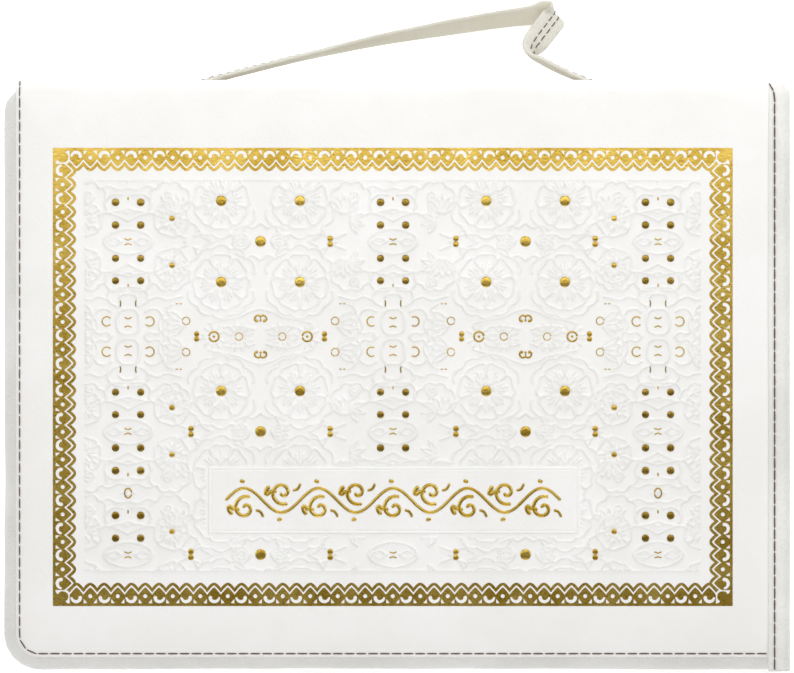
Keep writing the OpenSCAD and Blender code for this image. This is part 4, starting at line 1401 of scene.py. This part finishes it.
def slider():
    """The slider's casting: two shields joined by a web, with a bail on its outer face."""
    low, high = span("zip_slider")
    shape = slider_outline(low[0], high[0], (high[2] - low[2]) / 2, 3.1) + (0, ZIP_Z)
    outer = on_side(cushion(shape, 1.5, 2.5, 0.42))
    inner = on_side(cushion(shape, -1.7, -0.7, 0.42))
    web_line = smooth_line([(low[0] + 0.6, 0), (low[0] + 3, 0.3), (low[0] + 6, 0), (low[0] + 3, -0.3),
                            (low[0] + 0.6, 0)], 5)[:-1] + (0, ZIP_Z)
    web = on_side(cushion(web_line, -0.9, 1.7, 0.05))
    x = (low[0] + high[0]) / 2
    far = tab_centre_y()
    bend = far + 0.7
    foot = SEAM_Y0 - 2.2
    bail = [(x, foot, ZIP_Z - 2.9), (x, bend, ZIP_Z - 2.7), (x, far, ZIP_Z - 1.7), (x, far, ZIP_Z),
            (x, far, ZIP_Z + 1.7), (x, bend, ZIP_Z + 2.7), (x, foot, ZIP_Z + 2.9)]
    line = smooth_line(bail, 5)
    way = unit(np.gradient(line, axis=0))
    side = np.broadcast_to([1.0, 0, 0], way.shape)
    rise = np.cross(way, side)
    a = np.linspace(0, TURN, 10, endpoint=False)
    loop = line[:, None] + side[:, None] * (BAR_R * np.cos(a))[None, :, None] \
        + rise[:, None] * (BAR_R * np.sin(a))[None, :, None]
    return tie(many_tubes("slider_casting", [outer, inner, web, loop]), "zip_slider", "zip_metal",
               zip_metal, "zip_slider")


def pull():
    """The pull: an eye round the bail, a neck, and a blade with a raised rim and a sunk middle."""
    x0, eye = tab_lo[0], tab_hi[0] - EYE_R
    half = 3.2
    points = [(eye - 0.78, 0), (eye - 0.82, 1.2), (eye - 1.6, 1.75), (eye - 4.6, 1.75), (eye - 6.6, half),
              (x0 + 3, half)]
    end = arc((x0 + 3.2, 0), half, 95, 180, 9)
    upper = np.vstack([smooth_line(points, 5), end])
    shape = np.vstack([upper, (upper * (1, -1))[::-1][1:-1]]) + (0, ZIP_Z)
    mid = SEAM_Y0 - (tab_lo[1] + tab_hi[1]) / 2
    blade = on_side(cushion(shape, mid - 0.6, mid + 0.6, 0.3))
    oval = arc((0, 0), 1, 0, 350, 36) * ((eye - 8.2 - x0) / 2, 2.1) + ((eye - 6.2 + x0) / 2, ZIP_Z)
    rim = np.vstack([oval, oval[:1]])
    rim3 = np.stack([rim[:, 0], np.full(len(rim), tab_centre_y() - 0.6), rim[:, 1]], -1)
    way = unit(np.gradient(rim3, axis=0))
    out = np.broadcast_to([0, -1.0, 0], way.shape)
    side = np.cross(way, out)
    a = np.linspace(0, TURN, 8, endpoint=False)
    bead = rim3[:, None] + side[:, None] * (0.32 * np.cos(a))[None, :, None] + \
        out[:, None] * (0.26 * np.sin(a))[None, :, None]
    turn = np.linspace(0, TURN, 25)
    way_out = np.stack([np.cos(turn), np.sin(turn), 0 * turn], 1)
    middle = np.array([eye, tab_centre_y(), ZIP_Z]) + way_out * (EYE_BORE + EYE_R) / 2
    a = np.linspace(0, TURN, 16, endpoint=False)
    wall_part = np.sign(np.cos(a)) * np.abs(np.cos(a)) ** 0.4 * (EYE_R - EYE_BORE) / 2
    height = np.sign(np.sin(a)) * np.abs(np.sin(a)) ** 0.4 * EYE_H / 2
    upright = np.array([0, 0, 1.0]) * height[None, :, None]
    knuckle = middle[:, None] + way_out[:, None] * wall_part[None, :, None] + upright
    return tie(many_tubes("pull_blade", [blade, bead, knuckle]), "pull_tab", "zip_metal", zip_metal,
               "pull_tab")


def tab_centre_y():
    """Where the pull's blade stands, out from the bottom side."""
    return (tab_lo[1] + tab_hi[1]) / 2


# ---- Carrying strap ----

STRAP_W = 9.0
STRAP_T = 1.9
# Places of the strap's middle line, with the direction of its width there
STRAP = [
    ((-84, 96.35, 12.5), (0, 0, 1)), ((-69, 96.4, 12.5), (0, 0, 1)), ((-61, 98.2, 12.5), (0, 0.04, 1)),
    ((-51, 100.8, 12.5), (0, 0.08, 1)), ((-32, 105.6, 11.6), (0, 0.12, 1)), ((-7, 111.3, 9.6), (0, 0.32, 1)),
    ((8, 114.1, 7.8), (0, 0.45, 1)), ((17, 115.7, 6.8), (0, 0.56, 1)), ((33, 118.3, 5.4), (0, 0.68, 1)),
    ((44, 119.8, 4.4), (0, 0.8, 0.9)), ((49.9, 120.6, 3.9), (-0.3, 1, 0.3)),
    ((52.4, 119.4, 5.4), (-0.63, 0.77, 0.1)), ((50.8, 116.9, 7.3), (-0.63, 0.77, 0.12)),
    ((47.2, 112.2, 9.0), (-0.66, 0.7, 0.25)), ((44.5, 108.6, 10.0), (-0.55, 0.45, 0.7)),
    ((45.0, 106.2, 11.0), (-0.3, 0.2, 0.95)), ((48.2, 104.5, 11.6), (0, 0.14, 1)),
    ((54, 101.5, 12.3), (0, 0.14, 1)), ((60, 98.9, 12.5), (0, 0.06, 1)), ((68, 96.5, 12.5), (0, 0, 1)),
    ((84, 96.35, 12.5), (0, 0, 1)),
]


def strap_frame():
    """The strap's line with two of its directions: across and outward."""
    line = smooth_line([p for p, _ in STRAP], 14)
    wide = unit(smooth_line([np.array(w) / np.linalg.norm(w) for _, w in STRAP], 14))
    way = unit(np.gradient(line, axis=0))
    wide = unit(wide - way * (wide * way).sum(1, keepdims=True))
    return line, wide, np.cross(wide, way)


def strap_band():
    """The strap: two layers of leathercloth sewn back to back, with soft turned edges, bent and turned over
    by hand; its outer face is pebbled and stitched, and its inner face plain."""
    line, wide, out = strap_frame()
    a = np.linspace(0, TURN, 28, endpoint=False)
    x = np.sign(np.cos(a)) * np.abs(np.cos(a)) ** 0.55
    y = np.sign(np.sin(a)) * np.abs(np.sin(a)) ** 0.75
    s = np.arange(len(line)) * 0.8
    swell = 1 + 0.03 * ripple(s / 9, 0 * s, 51)
    grid = line[:, None] + wide[:, None] * (swell[:, None] * x * STRAP_W / 2)[..., None] \
        + out[:, None] * (y * (STRAP_T / 2))[None, :, None]
    band = tube("strap_band", grid)
    # The outer face's greyer colour is partly painted shade
    band.data.materials.append(strap_face)
    band.data.materials.append(strap_back)
    ring = np.arange(len(band.data.polygons)) % 28
    which = ((ring >= 15) & (ring < 27)).astype(np.int32)
    band.data.polygons.foreach_set("material_index", which)
    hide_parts("strap", "strap_end_left", "strap_end_right")
    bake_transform(band)
    rows = []
    for off in (-1.0, 1.0):
        run = line + wide * off + out * (STRAP_T / 2 + 0.02)
        rows.append(stitched("strap_row", run, out, 3.0, 2.3, 0.2, strap_thread))
    rows = join("strap_stitch_rows", rows)
    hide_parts("strap_stitching")
    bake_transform(rows)
    return band, rows


# ---- Inside ----

def repaint(node, material):
    """Gives a CAD node a material of its own."""
    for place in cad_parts[node].material_slots:
        place.material = material


def booklets():
    """Card covers and page blocks of the six booklets."""
    for k, (base, deep) in CARDS.items():
        repaint(f"booklet_{k}_cover", laminated_card(f"laminated_card_{k}", base, deep))
        repaint(f"booklet_{k}_pages", paper)


def insides():
    """Boards, foam, linings, cords, stops and the spine's small parts."""
    for node in ("back_lining", "front_lining", "spine_lining"):
        repaint(node, lining_cloth)
    for node in ("back_board", "front_board", "spine_board"):
        repaint(node, board)
    repaint("front_foam", foam)
    repaint("binding_cords", elastic_braid)
    repaint("spine_end_flaps", grain_leather)
    repaint("back_spine_lap", grain_leather)
    # The zip's tail in dark tape: painted shadow at the zip's end
    repaint("zip_tail", zip_end_shadow_cloth)
    for node in ("rear_zip_stops", "front_zip_stops"):
        repaint(node, zip_metal)


# ---- Table, lights and camera ----

def table():
    """A white sheet that fills the picture."""
    x = np.linspace(-3000.0, 3000.0, 3)
    gy, gx = np.meshgrid(x, x, indexing="ij")
    sheet = surface("white_table", np.stack([gx, gy, np.full_like(gx, cad_low[2] / MM - 0.8)], -1))
    m, tree, shader, mm = start("white_card", "#FFFFFF", Roughness=0.9, Emission_Strength=0.32)
    shader.inputs["Emission Color"].default_value = (1, 1, 1, 1)
    tooth = add(tree, "ShaderNodeTexNoise", {"Vector": mm, "Scale": 0.4, "Detail": 2.0})
    bumped(tree, shader, tooth.outputs["Fac"], 0.02)
    sheet.data.materials.append(m)


def lamp(name, place, target, size, power, tall=None):
    """A soft rectangular light aimed at a point; lengths in millimetres."""
    data = bpy.data.lights.new(name, "AREA")
    data.shape = "RECTANGLE"
    data.size = size * MM
    data.size_y = (tall or size) * MM
    data.energy = power
    thing = bpy.data.objects.new(name, data)
    thing.location = Vector(place) * MM
    thing.rotation_euler = (Vector(target) - Vector(place)).to_track_quat("-Z", "Y").to_euler()
    bpy.context.scene.collection.objects.link(thing)


def studio():
    """A bright strip overhead just beyond the case, weaker soft lights round it, and a dim even surround: the
    foil near the strap mirrors the strip, and the rest of it the dim surround."""
    lamp("overhead_strip", (60, 215, 560), (60, 215, 0), 1200, 2.3, 250)
    lamp("far_softbox", (250, 1300, 420), (0, 20, 20), 900, 6, 400)
    lamp("near_softbox", (0, -600, 500), (0, 0, 20), 500, 1.75)
    lamp("left_softbox", (-1100, 250, 800), (0, 0, 20), 700, 3.4)
    lamp("right_softbox", (1100, 100, 900), (0, 0, 20), 700, 3)
    world = bpy.data.worlds.new("surround")
    bpy.context.scene.world = world
    world.use_nodes = True
    sky = world.node_tree.nodes["Background"]
    sky.inputs["Color"].default_value = (1, 1, 1, 1)
    sky.inputs["Strength"].default_value = 0.25


# The camera's height, the width it takes in at the case's face, and how far up the case it is centred
CAMERA_Z = 4000.0
VIEW_W = 262.3
CAMERA_Y = 12.7
FILM_W = 36.0


def camera():
    """Straight above the middle of the case and its strap, through a long lens."""
    data = bpy.data.cameras.new("camera")
    thing = bpy.data.objects.new("camera", data)
    data.lens = FILM_W * (CAMERA_Z - CASE_T) / VIEW_W
    data.clip_end = 20
    thing.location = Vector((0, CAMERA_Y, CAMERA_Z)) * MM
    bpy.context.scene.collection.objects.link(thing)
    bpy.context.scene.camera = thing


def build():
    """Every piece of the case, in its place."""
    front_panel()
    back_panel()
    border_foil()
    field_foil()
    title_tablet()
    tablet_vine()
    front_stitches()
    back_stitches()
    wall("back_wall_strip", 0, "back_case", "back_wall")
    wall("front_wall_strip", 1, "front_cover", "front_wall")
    hem_stitches(False)
    hem_stitches(True)
    spine()
    tape("rear_tape", "rear_zip_tape", False, "back_case")
    tape("front_tape", "front_zip_tape", True, "front_cover")
    coil_teeth("rear_teeth", "rear_zip_coil", False, "back_case")
    coil_teeth("front_teeth", "front_zip_coil", True, "front_cover")
    slider()
    pull()
    strap_band()
    booklets()
    insides()
    table()
    studio()
    camera()
    view = bpy.context.scene.view_settings
    view.view_transform = "Standard"
    view.look = "None"


build()
